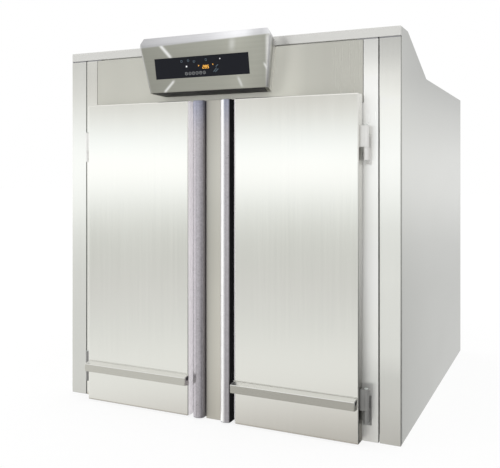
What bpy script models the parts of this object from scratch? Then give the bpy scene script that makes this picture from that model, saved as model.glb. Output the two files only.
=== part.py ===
"""Proofing cabinet: a roll-in, two-door, insulated cabinet with a sloped equipment hood.

Metres, +Z up. The origin is on the floor at the middle of the footprint of the cabinet body.
The doors face -Y and +X is to the right of someone who stands in front of them.
"""

import math

import bmesh
import bpy
from mathutils import Euler, Matrix, Vector

# Fits and finishing radii
GAP = 0.0003
SEAM = 0.006
HEADER_SEAM = 0.003
SIDE_JOINT = 0.010
OVERRUN = 0.01
SHEET_EDGE = 0.0015
PANEL_EDGE = 0.003
WELD_DISTANCE = 0.00005
FLAT_ANGLE = math.radians(0.5)
BEVEL_ANGLE = math.radians(30)

# Body
WIDTH = 2.340
DEPTH = 2.330
ROOF_HEIGHT = 2.185
CHEEK_RISE = 0.215
WALL = 0.080
CHEEK_FLAT = 0.190
CHEEK_END = 0.770

# Facade
COVER = 0.020
FRAME_DEPTH = 0.080
POST_WIDTH = 0.124
JAMB_WIDTH = 0.094
TRIM_HEIGHT = 0.057
HEAD_HEIGHT = 0.133

# Mullion between the doors
MULLION_WIDTH = 0.220
MULLION_COVER_WIDTH = 0.110
MULLION_COVER_DEPTH = 0.062

# Doors
GASKET_DEPTH = 0.018
LEAF_DEPTH = 0.082
LEAF_FLANGE = 0.018
LEAF_RADIUS = 0.008
DOOR_CLEARANCE = 0.009
DOOR_LAP_TOP = 0.046
DOOR_LAP_SIDE = 0.038
MEETING_GAP = 0.005
HANDLE_WIDTH = 0.070
HANDLE_RISE = 0.008
HANDLE_HEEL_RISE = 0.002
HANDLE_NOSE_RADIUS = 0.026
HANDLE_HEEL_RADIUS = 0.010
RECESS_WIDTH = 0.035
GASKET_WIDTH = 0.022
GASKET_INSET = 0.006
GASKET_LIP = 0.005

# Kick rails
RAIL_DEPTH = 0.052
RAIL_HEIGHT = 0.072
RAIL_FACE_HEIGHT = 0.040
RAIL_DROP = 0.010
RAIL_BOTTOM = 0.207
RAIL_END_TAPER = 0.018
RAIL_MARGIN_OUTER = 0.010
RAIL_OVERHANG = 0.006
RAIL_RADIUS = 0.006
RAIL_SHEET = 0.002

# Hinges
HINGE_OFFSET = 0.032
HINGE_PROUD = 0.058
HINGE_TOP_DROP = 0.312
HINGE_LOWER = 0.196
BARREL_RADIUS = 0.015
BARREL_HEIGHT = 0.074
KNUCKLE_HEIGHT = 0.122
KNUCKLE_LIFT = 0.003
HINGE_PLATE_WIDTH = 0.034
HINGE_PLATE = 0.005
HINGE_PLATE_HEIGHT = 0.170
HINGE_WEB = 0.014
PIN_RADIUS = 0.006
PIN_SEAT = 0.050
PIN_RISE = 0.090

# Console
CONSOLE_CENTRE = -0.020
CONSOLE_BACK_HALF = 0.387
CONSOLE_CLEARANCE = 0.044
CONSOLE_BOTTOM_RISE = 0.012
CONSOLE_FACE_BOTTOM_DEPTH = 0.124
CONSOLE_FACE_RISE = 0.296
CONSOLE_NOSE_DEPTH = 0.181
CONSOLE_TOP_RISE = 0.052
CONSOLE_TOP_SETBACK = 0.014
CONSOLE_TOP_INSET = 0.032
CONSOLE_FLARE_SHARE = 0.285
CONSOLE_SPLAY_SHARE = 0.096
CONSOLE_BEND = 0.024
CONSOLE_EDGE = 0.003
CONSOLE_SHEET = 0.002
CONSOLE_BASE = 0.003
CONSOLE_BASE_MARGIN = 0.022
CONSOLE_BASE_SETBACK = 0.006
DISPLAY_WIDTH = 0.664
DISPLAY_HEIGHT = 0.130
DISPLAY_CENTRE = -0.024
DISPLAY_DROP = 0.151
DISPLAY_PANEL = 0.006
BOARD_WIDTH = 0.520
BOARD_HEIGHT = 0.090
BOARD = 0.002
BOARD_STANDOFF = 0.018
BOARD_POST_RADIUS = 0.004
BOARD_MARGIN = 0.015

# Hood over the equipment space
HOOD_SHEET = 0.002
HOOD_LIP = 0.045
HOOD_FOOT = 0.030
HOOD_BEND = 0.006
BOX_WIDTH = 0.460
BOX_DEPTH = 0.120
BOX_HEIGHT = 0.150
BOX_SETBACK = 0.070
BOX_LEFT = 0.520
GLAND_RADIUS = 0.016
GLAND_HEIGHT = 0.030
GLAND_NUT = 0.010
GLAND_BORE = 0.007
GLAND_WALL = 0.006
GLAND_MARGIN = 0.330
INLET_RADIUS = 0.011
INLET_NUT_RADIUS = 0.017
INLET_HEIGHT = 0.048
INLET_NUT = 0.016
INLET_BORE = 0.007
INLET_SETBACK = 0.950

# Floor pan
PAN_SHEET = 0.003
PAN_UPSTAND = 0.060
PAN_COVE = 0.012

# Rear air duct
DUCT_DEPTH = 0.210
DUCT_SHEET = 0.002
DUCT_MARGIN = 0.030
DUCT_BOTTOM = 0.120
DUCT_TOP_GAP = 0.095
DUCT_FLANGE = 0.030
FAN_SPACING = 1.040
FAN_DROP = 0.465
FAN_HOLE_RADIUS = 0.122
SLOT_LENGTH = 0.340
SLOT_HEIGHT = 0.014
SLOT_PITCH = 0.062
SLOT_ROWS = 9
SLOT_BOTTOM = 0.280
SLOT_SPACING = 1.040

# Fans
GUARD_RADIUS = 0.138
GUARD_WIRE = 0.004
GUARD_SPOKE = 0.003
GUARD_SPOKE_SETBACK = 0.0006
GUARD_RINGS = 3
GUARD_SPOKES = 4
ROTOR_RADIUS = 0.114
HUB_RADIUS = 0.038
HUB_DEPTH = 0.034
BLADE_COUNT = 5
BLADE_CHORD_SHARE = 0.78
BLADE_ROOT_SHARE = 0.62
BLADE_ROOT = 0.030
BLADE_STEPS = 4
BLADE_DEPTH = 0.024
BLADE = 0.003
ROTOR_CLEARANCE = 0.014
MOTOR_CLEARANCE = 0.003
MOTOR_RADIUS = 0.052
MOTOR_DEPTH = 0.075
SHAFT_RADIUS = 0.007
SHAFT_REACH = 0.024
BRACKET_WIDTH = 0.030
BRACKET = 0.004
BRACKET_REACH = 0.150

# Heater and steam
HEATER_TUBE = 0.006
HEATER_WIDTH = 0.700
HEATER_RUNS = 4
HEATER_PITCH = 0.050
HEATER_DROP = 0.310
HEATER_OFF_WALL = 0.090
STEAM_WIDTH = 0.360
STEAM_DEPTH = 0.130
STEAM_HEIGHT = 0.300
STEAM_BOTTOM = 0.180
STEAM_EDGE = 0.012
PIPE_RADIUS = 0.014
PIPE_DROP = 0.070
PIPE_BEND = 0.050
PIPE_REACH = 0.060

# Chamber fittings
LAMP_LENGTH = 0.300
LAMP_WIDTH = 0.110
LAMP_BASE = 0.018
LAMP_LENS = 0.034
LAMP_RIM = 0.008
LAMP_SETBACK = 0.520
LAMP_SEGMENTS = 7
BUMPER_HEIGHT = 0.110
BUMPER_DEPTH = 0.030
BUMPER_BOTTOM = 0.240
BUMPER_CHAMFER = 0.018
BUMPER_FRONT = 0.220
BUMPER_REAR = 0.160
PROBE_RADIUS = 0.009
PROBE_LENGTH = 0.110
PROBE_FLANGE_RADIUS = 0.022
PROBE_FLANGE = 0.006
PROBE_HEIGHT = 1.180

# Counts that set how round a round thing is
ROUND = 32
SMALL_ROUND = 16
GUARD_ROUND = 24
TUBE_SIDES = 2
ARC_STEPS = 6

# Places that follow from the sizes
FRONT = -DEPTH / 2
BACK = DEPTH / 2
HALF = WIDTH / 2
INNER_HALF = HALF - WALL
DOOR_EDGE = HALF - POST_WIDTH - JAMB_WIDTH
OPENING_EDGE = DOOR_EDGE - DOOR_LAP_SIDE
MEETING_EDGE = MULLION_COVER_WIDTH / 2 + MEETING_GAP
HANDLE_EDGE = MEETING_EDGE + HANDLE_WIDTH
RECESS_EDGE = HANDLE_EDGE + RECESS_WIDTH
CEILING = ROOF_HEIGHT - WALL
OPENING_HEIGHT = CEILING - HEAD_HEIGHT
FACADE_HEIGHT = ROOF_HEIGHT + CHEEK_RISE
DOOR_TOP = OPENING_HEIGHT + DOOR_LAP_TOP
LEAF_BACK = FRONT - GASKET_DEPTH
LEAF_FRONT = LEAF_BACK - LEAF_DEPTH
FLANGE_FRONT = LEAF_BACK - LEAF_FLANGE
TRIM_BOTTOM = FACADE_HEIGHT - TRIM_HEIGHT
REAR_FACE = BACK - WALL
DUCT_FACE = REAR_FACE - DUCT_DEPTH
DUCT_TOP = CEILING - DUCT_TOP_GAP
FAN_HEIGHT = CEILING - FAN_DROP
CONSOLE_BOTTOM = DOOR_TOP + CONSOLE_CLEARANCE
CONSOLE_FACE_BOTTOM = CONSOLE_BOTTOM + CONSOLE_BOTTOM_RISE
CONSOLE_NOSE = CONSOLE_FACE_BOTTOM + CONSOLE_FACE_RISE
CONSOLE_TOP = CONSOLE_NOSE + CONSOLE_TOP_RISE
HINGE_X = DOOR_EDGE + HINGE_OFFSET
HINGE_Y = FRONT - HINGE_PROUD
HINGE_BASES = (("upper", DOOR_TOP - HINGE_TOP_DROP), ("lower", HINGE_LOWER))
SIDES = ((-1, "left"), (1, "right"))

# Turns that lay a flat outline in the plane of a plan, a front view or a side view
PLAN = Euler((0, 0, 0))
FRONT_VIEW = Euler((math.pi / 2, 0, 0))
SIDE_VIEW = Euler((math.pi / 2, 0, math.pi / 2))


def clear_scene():
    for obj in list(bpy.data.objects):
        bpy.data.objects.remove(obj, do_unlink=True)


def new_collection(name):
    collection = bpy.data.collections.new(name)
    bpy.context.scene.collection.children.link(collection)
    return collection


def new_material(name, colour, roughness, metallic):
    material = bpy.data.materials.new(name)
    material.use_nodes = True
    shader = material.node_tree.nodes["Principled BSDF"]
    shader.inputs["Base Color"].default_value = (*colour, 1)
    shader.inputs["Roughness"].default_value = roughness
    shader.inputs["Metallic"].default_value = metallic
    return material


def add_object(name, mesh, material, collection, parent=None):
    """Put a mesh in the collection as one named piece."""
    obj = bpy.data.objects.new(name, mesh)
    collection.objects.link(obj)
    if material:
        mesh.materials.append(material)
    if parent:
        obj.parent = parent
        obj.matrix_parent_inverse = parent.matrix_world.inverted()
    return obj


def add_bevel(obj, width, segments=2):
    bevel = obj.modifiers.new("Rounded edges", "BEVEL")
    bevel.width = width
    bevel.segments = segments
    bevel.limit_method = "ANGLE"
    bevel.angle_limit = BEVEL_ANGLE


def add_solidify(obj, thickness):
    """Give an open surface its sheet thickness, grown inwards."""
    solidify = obj.modifiers.new("Sheet", "SOLIDIFY")
    solidify.thickness = thickness
    solidify.offset = -1
    solidify.use_even_offset = True


def add_boolean(obj, cutter, operation="DIFFERENCE"):
    boolean = obj.modifiers.new("Cut", "BOOLEAN")
    boolean.operation = operation
    boolean.object = cutter
    cutter.hide_render = True
    cutter.display_type = "WIRE"


def trim_behind(obj, low, high, y, cutters):
    """Cut an open shell flush with the plane that it stands against."""
    name = obj.name + "_trim"
    cutter = add_object(
        name, box_mesh(name, (low[0] - OVERRUN, y, low[1] - OVERRUN),
                       (high[0] + OVERRUN, y + OVERRUN, high[1] + OVERRUN)), None, cutters)
    add_boolean(obj, cutter)


def smooth(obj):
    obj.data.shade_smooth()
    obj.data.set_sharp_from_angle(angle=BEVEL_ANGLE)


def box_mesh(name, low, high):
    """A box between two corners, with the mesh in place."""
    bm = bmesh.new()
    bmesh.ops.create_cube(bm, size=1)
    low, high = Vector(low), Vector(high)
    size = high - low
    matrix = Matrix.Translation((low + high) / 2) @ Matrix.Diagonal((*size, 1))
    bmesh.ops.transform(bm, matrix=matrix, verts=bm.verts)
    mesh = bpy.data.meshes.new(name)
    bm.to_mesh(mesh)
    bm.free()
    return mesh


def cylinder_mesh(name, radius, start, end, segments=ROUND, end_radius=None):
    """A cylinder or cone from one point to another."""
    start, end = Vector(start), Vector(end)
    axis = end - start
    bm = bmesh.new()
    bmesh.ops.create_cone(
        bm, cap_ends=True, segments=segments, radius1=radius,
        radius2=radius if end_radius is None else end_radius, depth=axis.length)
    turn = axis.to_track_quat("Z", "Y").to_matrix().to_4x4()
    bmesh.ops.transform(bm, matrix=Matrix.Translation((start + end) / 2) @ turn, verts=bm.verts)
    mesh = bpy.data.meshes.new(name)
    bm.to_mesh(mesh)
    bm.free()
    return mesh


def arc(centre, radius, start, end, steps=ARC_STEPS):
    """Points on an arc, angles in degrees."""
    points = []
    for step in range(steps + 1):
        angle = math.radians(start + (end - start) * step / steps)
        points.append((centre[0] + radius * math.cos(angle), centre[1] + radius * math.sin(angle)))
    return points


def mirrored(outline, side):
    return [(side * u, v) for u, v in outline]


def curve_to_mesh(curve_object, name):
    """Turn an evaluated curve into a closed mesh with flat faces joined."""
    depsgraph = bpy.context.evaluated_depsgraph_get()
    mesh = bpy.data.meshes.new_from_object(curve_object.evaluated_get(depsgraph))
    mesh.name = name
    mesh.transform(curve_object.matrix_world)
    bm = bmesh.new()
    bm.from_mesh(mesh)
    bmesh.ops.remove_doubles(bm, verts=bm.verts, dist=WELD_DISTANCE)
    bmesh.ops.dissolve_limit(
        bm, angle_limit=FLAT_ANGLE, verts=bm.verts, edges=bm.edges, delimit={"NORMAL"})
    bmesh.ops.recalc_face_normals(bm, faces=bm.faces)
    bm.to_mesh(mesh)
    bm.free()
    bpy.data.objects.remove(curve_object, do_unlink=True)
    return mesh


def outline_mesh(name, outline, low, high, view):
    """Extrude a flat outline between two places along the normal of its view.

    A plan is drawn in X and Y and extruded along Z, a front view is drawn in X and Z and extruded
    along Y, and a side view is drawn in Y and Z and extruded along X.
    """
    curve = bpy.data.curves.new(name, "CURVE")
    curve.dimensions = "2D"
    curve.fill_mode = "BOTH"
    curve.extrude = (high - low) / 2
    spline = curve.splines.new("POLY")
    spline.points.add(len(outline) - 1)
    for point, (u, v) in zip(spline.points, outline):
        point.co = (u, v, 0, 1)
    spline.use_cyclic_u = True
    obj = bpy.data.objects.new(name, curve)
    bpy.context.scene.collection.objects.link(obj)
    normal = view.to_matrix() @ Vector((0, 0, 1))
    sense = -1 if view is FRONT_VIEW else 1
    obj.rotation_euler = view
    obj.location = normal * (low + high) / 2 * sense
    bpy.context.view_layer.update()
    return curve_to_mesh(obj, name)


def tube_mesh(name, points, radius, sides=TUBE_SIDES):
    """A round tube or rod along a path."""
    curve = bpy.data.curves.new(name, "CURVE")
    curve.dimensions = "3D"
    curve.bevel_depth = radius
    curve.bevel_resolution = sides
    curve.use_fill_caps = True
    spline = curve.splines.new("POLY")
    spline.points.add(len(points) - 1)
    for point, place in zip(spline.points, points):
        point.co = (*place, 1)
    obj = bpy.data.objects.new(name, curve)
    bpy.context.scene.collection.objects.link(obj)
    bpy.context.view_layer.update()
    return curve_to_mesh(obj, name)


def hull_mesh(name, points):
    """The solid that wraps a few corner points, with its flat faces joined."""
    bm = bmesh.new()
    for point in points:
        bm.verts.new(point)
    bmesh.ops.convex_hull(bm, input=bm.verts)
    bmesh.ops.dissolve_limit(
        bm, angle_limit=FLAT_ANGLE, verts=bm.verts, edges=bm.edges, delimit={"NORMAL"})
    bmesh.ops.recalc_face_normals(bm, faces=bm.faces)
    mesh = bpy.data.meshes.new(name)
    bm.to_mesh(mesh)
    bm.free()
    return mesh


def box(name, low, high, material, collection, parent=None, bevel=0.0):
    obj = add_object(name, box_mesh(name, low, high), material, collection, parent)
    if bevel:
        add_bevel(obj, bevel)
    return obj


def side_box(name, side, inner, outer, y_range, z_range, material, collection, parent=None, bevel=0.0):
    """A box given by its distances from the middle plane, on the left or on the right."""
    low = (min(side * inner, side * outer), y_range[0], z_range[0])
    high = (max(side * inner, side * outer), y_range[1], z_range[1])
    return box(name, low, high, material, collection, parent, bevel)


def empty(name, place, collection):
    obj = bpy.data.objects.new(name, None)
    obj.location = place
    collection.objects.link(obj)
    bpy.context.view_layer.update()
    return obj


# Body

def build_side_panels(look, parts):
    front = FRONT + COVER + SIDE_JOINT
    outline = [
        (front, 0), (BACK, 0), (BACK, ROOF_HEIGHT), (FRONT + CHEEK_END, ROOF_HEIGHT),
        (FRONT + CHEEK_FLAT, FACADE_HEIGHT), (front, FACADE_HEIGHT)]
    for side, word in SIDES:
        low, high = sorted((side * INNER_HALF, side * HALF))
        name = "side_panel_" + word
        mesh = outline_mesh(name, outline, low, high, SIDE_VIEW)
        add_bevel(add_object(name, mesh, look["steel"], parts), PANEL_EDGE)


def build_rear_and_roof(look, parts):
    reach = INNER_HALF - GAP
    box("rear_panel", (-reach, REAR_FACE, 0), (reach, BACK, ROOF_HEIGHT), look["steel"], parts,
        bevel=PANEL_EDGE)
    box("roof_panel", (-reach, FRONT + COVER + GAP, CEILING), (reach, REAR_FACE - GAP, ROOF_HEIGHT),
        look["steel"], parts, bevel=SHEET_EDGE)


def build_floor_pan(look, parts):
    """A tray with coved upstands on three sides, open to the doorway."""
    reach = INNER_HALF - GAP
    front = FRONT + FRAME_DEPTH + GAP
    mesh = box_mesh("floor_pan", (-reach, front, 0), (reach, REAR_FACE - GAP, PAN_UPSTAND))
    bm = bmesh.new()
    bm.from_mesh(mesh)
    open_faces = [face for face in bm.faces if face.normal.z > 0.5 or face.normal.y < -0.5]
    bmesh.ops.delete(bm, geom=open_faces, context="FACES")
    folds = [edge for edge in bm.edges if not edge.is_boundary]
    bmesh.ops.bevel(bm, geom=folds, offset=PAN_COVE, segments=3, profile=0.5, affect="EDGES")
    bm.to_mesh(mesh)
    bm.free()
    add_solidify(add_object("floor_pan", mesh, look["steel"], parts), PAN_SHEET)


def build_frame(look, parts):
    back = (FRONT + COVER + GAP, FRONT + FRAME_DEPTH)
    for side, word in SIDES:
        side_box("frame_upright_" + word, side, OPENING_EDGE, INNER_HALF - GAP, back,
                 (0, CEILING - GAP), look["steel"], parts, bevel=PANEL_EDGE)
    reach = OPENING_EDGE - GAP
    box("frame_head", (-reach, back[0], OPENING_HEIGHT), (reach, back[1], CEILING - GAP),
        look["steel"], parts, bevel=PANEL_EDGE)


# Facade

def build_facade(look, parts):
    front = (FRONT, FRONT + COVER)
    top = TRIM_BOTTOM - SEAM
    jamb_outer = HALF - POST_WIDTH - SEAM
    for side, word in SIDES:
        side_box("outer_post_" + word, side, HALF - POST_WIDTH, HALF, front, (0, top),
                 look["steel"], parts, bevel=PANEL_EDGE)
        # The jamb is wider below the header, where the door closes over it.
        outline = mirrored([
            (OPENING_EDGE, 0), (jamb_outer, 0), (jamb_outer, top), (DOOR_EDGE, top),
            (DOOR_EDGE, OPENING_HEIGHT - HEADER_SEAM), (OPENING_EDGE, OPENING_HEIGHT - HEADER_SEAM)], side)
        name = "inner_jamb_" + word
        mesh = outline_mesh(name, outline, *front, FRONT_VIEW)
        add_bevel(add_object(name, mesh, look["steel"], parts), SHEET_EDGE)
    reach = DOOR_EDGE - HEADER_SEAM
    box("header_panel", (-reach, front[0], OPENING_HEIGHT), (reach, front[1], top), look["steel"], parts,
        bevel=SHEET_EDGE)
    box("top_trim", (-HALF, front[0], TRIM_BOTTOM), (HALF, front[1], FACADE_HEIGHT),
        look["bright_steel"], parts, bevel=PANEL_EDGE)


def build_mullion(look, parts):
    half = MULLION_WIDTH / 2
    box("centre_mullion", (-half, FRONT, 0), (half, FRONT + FRAME_DEPTH, OPENING_HEIGHT - GAP),
        look["steel"], parts, bevel=PANEL_EDGE)
    half = MULLION_COVER_WIDTH / 2
    box("mullion_cover", (-half, FRONT - MULLION_COVER_DEPTH, 0), (half, FRONT - GAP, DOOR_TOP),
        look["steel"], parts, bevel=PANEL_EDGE)


# Hood

def hood_line():
    """The side view of the hood's outer face, from its front lip to its foot on the roof."""
    front = FRONT + COVER + GAP
    foot = ROOF_HEIGHT + GAP
    return [
        (front, TRIM_BOTTOM - HOOD_LIP), (front, FACADE_HEIGHT), (FRONT + CHEEK_FLAT, FACADE_HEIGHT),
        (FRONT + CHEEK_END, foot + HOOD_SHEET), (FRONT + CHEEK_END + HOOD_FOOT, foot + HOOD_SHEET)]


def build_hood(look, parts):
    """The hood's line, run across the cabinet as an open sheet, then folded and given thickness."""
    reach = INNER_HALF - GAP
    bm = bmesh.new()
    line = [bm.verts.new((-reach, y, z)) for y, z in hood_line()]
    edges = [bm.edges.new(pair) for pair in zip(line, line[1:])]
    across = bmesh.ops.extrude_edge_only(bm, edges=edges)["geom"]
    moved = [item for item in across if isinstance(item, bmesh.types.BMVert)]
    bmesh.ops.translate(bm, verts=moved, vec=(reach * 2, 0, 0))
    bmesh.ops.recalc_face_normals(bm, faces=bm.faces)
    folds = [edge for edge in bm.edges if not edge.is_boundary]
    bmesh.ops.bevel(bm, geom=folds, offset=HOOD_BEND, segments=3, profile=0.5, affect="EDGES")
    mesh = bpy.data.meshes.new("hood_cover")
    bm.to_mesh(mesh)
    bm.free()
    if max(mesh.polygons, key=lambda face: face.center.z).normal.z < 0:
        mesh.flip_normals()
    add_solidify(add_object("hood_cover", mesh, look["steel"], parts), HOOD_SHEET)


def slope_place(x, setback):
    """A point on the hood's slope and the slope's outward normal."""
    run = CHEEK_END - CHEEK_FLAT
    foot = ROOF_HEIGHT + GAP + HOOD_SHEET
    fall = FACADE_HEIGHT - foot
    height = FACADE_HEIGHT - fall * (setback - CHEEK_FLAT) / run
    return Vector((x, FRONT + setback, height)), Vector((0, fall, run)).normalized()


def build_services(look, parts, cutters):
    """Electrical box under the hood, cable gland on its slope and water inlet on the roof."""
    low = (-BOX_LEFT, FRONT + COVER + BOX_SETBACK, ROOF_HEIGHT + GAP)
    high = (low[0] + BOX_WIDTH, low[1] + BOX_DEPTH, low[2] + BOX_HEIGHT)
    box("electrical_box", low, high, look["grey_plastic"], parts, bevel=PANEL_EDGE)

    right = INNER_HALF - GLAND_MARGIN
    place, normal = slope_place(right, (CHEEK_FLAT + CHEEK_END) / 2)
    foot = place + normal * GAP
    nut_top = foot + normal * GLAND_NUT
    gland = add_object(
        "cable_gland", cylinder_mesh("cable_gland", GLAND_RADIUS, foot, nut_top, 6), look["black_plastic"],
        parts)
    dome = add_object(
        "gland_dome",
        cylinder_mesh("gland_dome", GLAND_BORE + GLAND_WALL, foot + normal * GLAND_NUT / 2,
                      foot + normal * GLAND_HEIGHT, SMALL_ROUND, GLAND_BORE + GLAND_WALL / 2),
        None, cutters)
    add_boolean(gland, dome, "UNION")
    bore = add_object(
        "gland_bore",
        cylinder_mesh("gland_bore", GLAND_BORE, foot + normal * GLAND_NUT,
                      foot + normal * (GLAND_HEIGHT + OVERRUN), SMALL_ROUND),
        None, cutters)
    add_boolean(gland, bore)

    foot = Vector((right, FRONT + INLET_SETBACK, ROOF_HEIGHT + GAP))
    up = Vector((0, 0, 1))
    inlet = add_object(
        "water_inlet", cylinder_mesh("water_inlet", INLET_NUT_RADIUS, foot, foot + up * INLET_NUT, 6),
        look["brass"], parts)
    stub = add_object(
        "inlet_stub",
        cylinder_mesh("inlet_stub", INLET_RADIUS, foot + up * INLET_NUT / 2, foot + up * INLET_HEIGHT,
                      SMALL_ROUND),
        None, cutters)
    add_boolean(inlet, stub, "UNION")
    bore = add_object(
        "inlet_bore",
        cylinder_mesh("inlet_bore", INLET_BORE, foot + up * INLET_NUT, foot + up * (INLET_HEIGHT + OVERRUN),
                      SMALL_ROUND),
        None, cutters)
    add_boolean(inlet, bore)


# Console

def console_half(depth, height):
    """Half the console's width at a depth in front of the facade and a height."""
    return (CONSOLE_BACK_HALF + CONSOLE_FLARE_SHARE * depth
            + CONSOLE_SPLAY_SHARE * (height - CONSOLE_BOTTOM))


def console_corners():
    """Corner points of the hipped housing: five rows, each mirrored left and right."""
    top_depth = CONSOLE_NOSE_DEPTH - CONSOLE_TOP_SETBACK
    nose_half = console_half(CONSOLE_NOSE_DEPTH, CONSOLE_NOSE)
    back_half = console_half(0, CONSOLE_NOSE)
    top_half = nose_half - CONSOLE_TOP_INSET
    back_top_half = top_half - (nose_half - back_half) * top_depth / CONSOLE_NOSE_DEPTH
    rows = [
        (console_half(0, CONSOLE_BOTTOM), 0, CONSOLE_BOTTOM),
        (console_half(CONSOLE_FACE_BOTTOM_DEPTH, CONSOLE_FACE_BOTTOM), CONSOLE_FACE_BOTTOM_DEPTH,
         CONSOLE_FACE_BOTTOM),
        (nose_half, CONSOLE_NOSE_DEPTH, CONSOLE_NOSE),
        (back_half, 0, CONSOLE_NOSE),
        (top_half, top_depth, CONSOLE_TOP),
        (back_top_half, 0, CONSOLE_TOP)]
    front = FRONT - GAP
    return [(CONSOLE_CENTRE + side * half, front - depth, height)
            for half, depth, height in rows for side in (-1, 1)]


def face_frame():
    """The matrix of the console's leaning face: X right, Y up the face, Z out of it."""
    rise = CONSOLE_NOSE - CONSOLE_FACE_BOTTOM
    lean = math.atan2(CONSOLE_NOSE_DEPTH - CONSOLE_FACE_BOTTOM_DEPTH, rise)
    nose = Vector((CONSOLE_CENTRE, FRONT - GAP - CONSOLE_NOSE_DEPTH, CONSOLE_NOSE))
    return Matrix.Translation(nose) @ Matrix.Rotation(math.pi / 2 + lean, 4, "X")


def face_box(name, centre, size, depth_range, material, collection):
    """A box that lies on the console's leaning face. centre and size are across and up the face."""
    low = (centre[0] - size[0] / 2, centre[1] - size[1] / 2, depth_range[0])
    high = (centre[0] + size[0] / 2, centre[1] + size[1] / 2, depth_range[1])
    obj = add_object(name, box_mesh(name, low, high), material, collection)
    obj.matrix_world = face_frame()
    return obj


def build_console_base(look, parts):
    """The dark plate that closes the console from below, parallel to the housing's underside."""
    back = CONSOLE_BASE_SETBACK
    front = CONSOLE_FACE_BOTTOM_DEPTH - CONSOLE_BASE_SETBACK
    rise_share = CONSOLE_BOTTOM_RISE / CONSOLE_FACE_BOTTOM_DEPTH
    corners = []
    for depth in (back, front):
        half = console_half(depth, CONSOLE_BOTTOM) - CONSOLE_BASE_MARGIN
        top = CONSOLE_BOTTOM + rise_share * depth - GAP
        for x in (CONSOLE_CENTRE - half, CONSOLE_CENTRE + half):
            corners.append((x, FRONT - GAP - depth, top))
            corners.append((x, FRONT - GAP - depth, top - CONSOLE_BASE))
    plate = add_object("console_base", hull_mesh("console_base", corners), look["black_plastic"], parts)
    add_bevel(plate, CONSOLE_BASE / 3, 1)


def build_console(look, parts, cutters):
    mesh = hull_mesh("console_housing", console_corners())
    bm = bmesh.new()
    bm.from_mesh(mesh)
    back = [face for face in bm.faces if face.normal.y > 0.9]
    bmesh.ops.delete(bm, geom=back, context="FACES")
    bends = []
    for edge in bm.edges:
        middle = (edge.verts[0].co + edge.verts[1].co) / 2
        upright = abs(edge.verts[0].co.z - edge.verts[1].co.z) > (CONSOLE_NOSE - CONSOLE_FACE_BOTTOM) / 2
        if upright and middle.y < FRONT - CONSOLE_FACE_BOTTOM_DEPTH:
            bends.append(edge)
    bmesh.ops.bevel(bm, geom=bends, offset=CONSOLE_BEND, segments=5, profile=0.5, affect="EDGES")
    bm.to_mesh(mesh)
    bm.free()
    housing = add_object("console_housing", mesh, look["steel"], parts)
    add_bevel(housing, CONSOLE_EDGE)
    add_solidify(housing, CONSOLE_SHEET)
    trim_behind(housing, (-HALF, CONSOLE_BOTTOM), (HALF, CONSOLE_TOP), FRONT - GAP, cutters)

    centre = (DISPLAY_CENTRE, -DISPLAY_DROP)
    window = face_box(
        "display_window", centre, (DISPLAY_WIDTH + GAP * 2, DISPLAY_HEIGHT + GAP * 2),
        (-DISPLAY_PANEL - OVERRUN, OVERRUN), None, cutters)
    add_boolean(housing, window)
    panel = face_box("display_panel", centre, (DISPLAY_WIDTH, DISPLAY_HEIGHT), (-DISPLAY_PANEL, 0),
                     look["black_glass"], parts)
    add_bevel(panel, SHEET_EDGE / 2, 1)

    # The board hangs behind the display on four posts of its own.
    board_back = -DISPLAY_PANEL - GAP - BOARD_STANDOFF
    board = face_box("control_board", centre, (BOARD_WIDTH, BOARD_HEIGHT), (board_back - BOARD, board_back),
                     look["circuit_board"], parts)
    reach = (BOARD_WIDTH / 2 - BOARD_MARGIN, BOARD_HEIGHT / 2 - BOARD_MARGIN)
    for index, (across, up) in enumerate(((-1, -1), (1, -1), (1, 1), (-1, 1))):
        place = Vector((centre[0] + across * reach[0], centre[1] + up * reach[1], 0))
        start = place + Vector((0, 0, board_back - BOARD / 2))
        end = place + Vector((0, 0, -DISPLAY_PANEL - GAP))
        name = f"board_post_{index}"
        post = add_object(name, cylinder_mesh(name, BOARD_POST_RADIUS, start, end, 8), None, cutters)
        post.matrix_world = face_frame()
        add_boolean(board, post, "UNION")


# Doors

def handle_outline():
    """Plan of the right handle: a rounded nose to the meeting edge and a slight crown."""
    back = FLANGE_FRONT - GAP
    crown = LEAF_FRONT - HANDLE_RISE
    heel = LEAF_FRONT - HANDLE_HEEL_RISE
    nose_centre = (MEETING_EDGE + HANDLE_NOSE_RADIUS, crown + HANDLE_NOSE_RADIUS)
    heel_centre = (HANDLE_EDGE - HANDLE_HEEL_RADIUS, heel + HANDLE_HEEL_RADIUS)
    outline = [(HANDLE_EDGE, back), (MEETING_EDGE, back)]
    outline += arc(nose_centre, HANDLE_NOSE_RADIUS, 180, 262)
    outline += arc(heel_centre, HANDLE_HEEL_RADIUS, 282, 360)
    return outline


def leaf_outline():
    """Plan of the right leaf: full thickness, then a thin flange behind recess and handle."""
    return [
        (MEETING_EDGE, LEAF_BACK), (DOOR_EDGE, LEAF_BACK), (DOOR_EDGE, LEAF_FRONT),
        (RECESS_EDGE, LEAF_FRONT), (RECESS_EDGE, FLANGE_FRONT), (MEETING_EDGE, FLANGE_FRONT)]


def gasket_outline():
    """Front view of the right gasket: three sides, open at the floor."""
    inner = MULLION_WIDTH / 2 - GASKET_INSET - GASKET_WIDTH
    outer = OPENING_EDGE + GASKET_INSET + GASKET_WIDTH
    top = OPENING_HEIGHT + GASKET_INSET + GASKET_WIDTH
    bottom = DOOR_CLEARANCE + GASKET_LIP
    return [
        (inner, bottom), (inner + GASKET_WIDTH, bottom), (inner + GASKET_WIDTH, top - GASKET_WIDTH),
        (outer - GASKET_WIDTH, top - GASKET_WIDTH), (outer - GASKET_WIDTH, bottom), (outer, bottom),
        (outer, top), (inner, top)]


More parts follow.
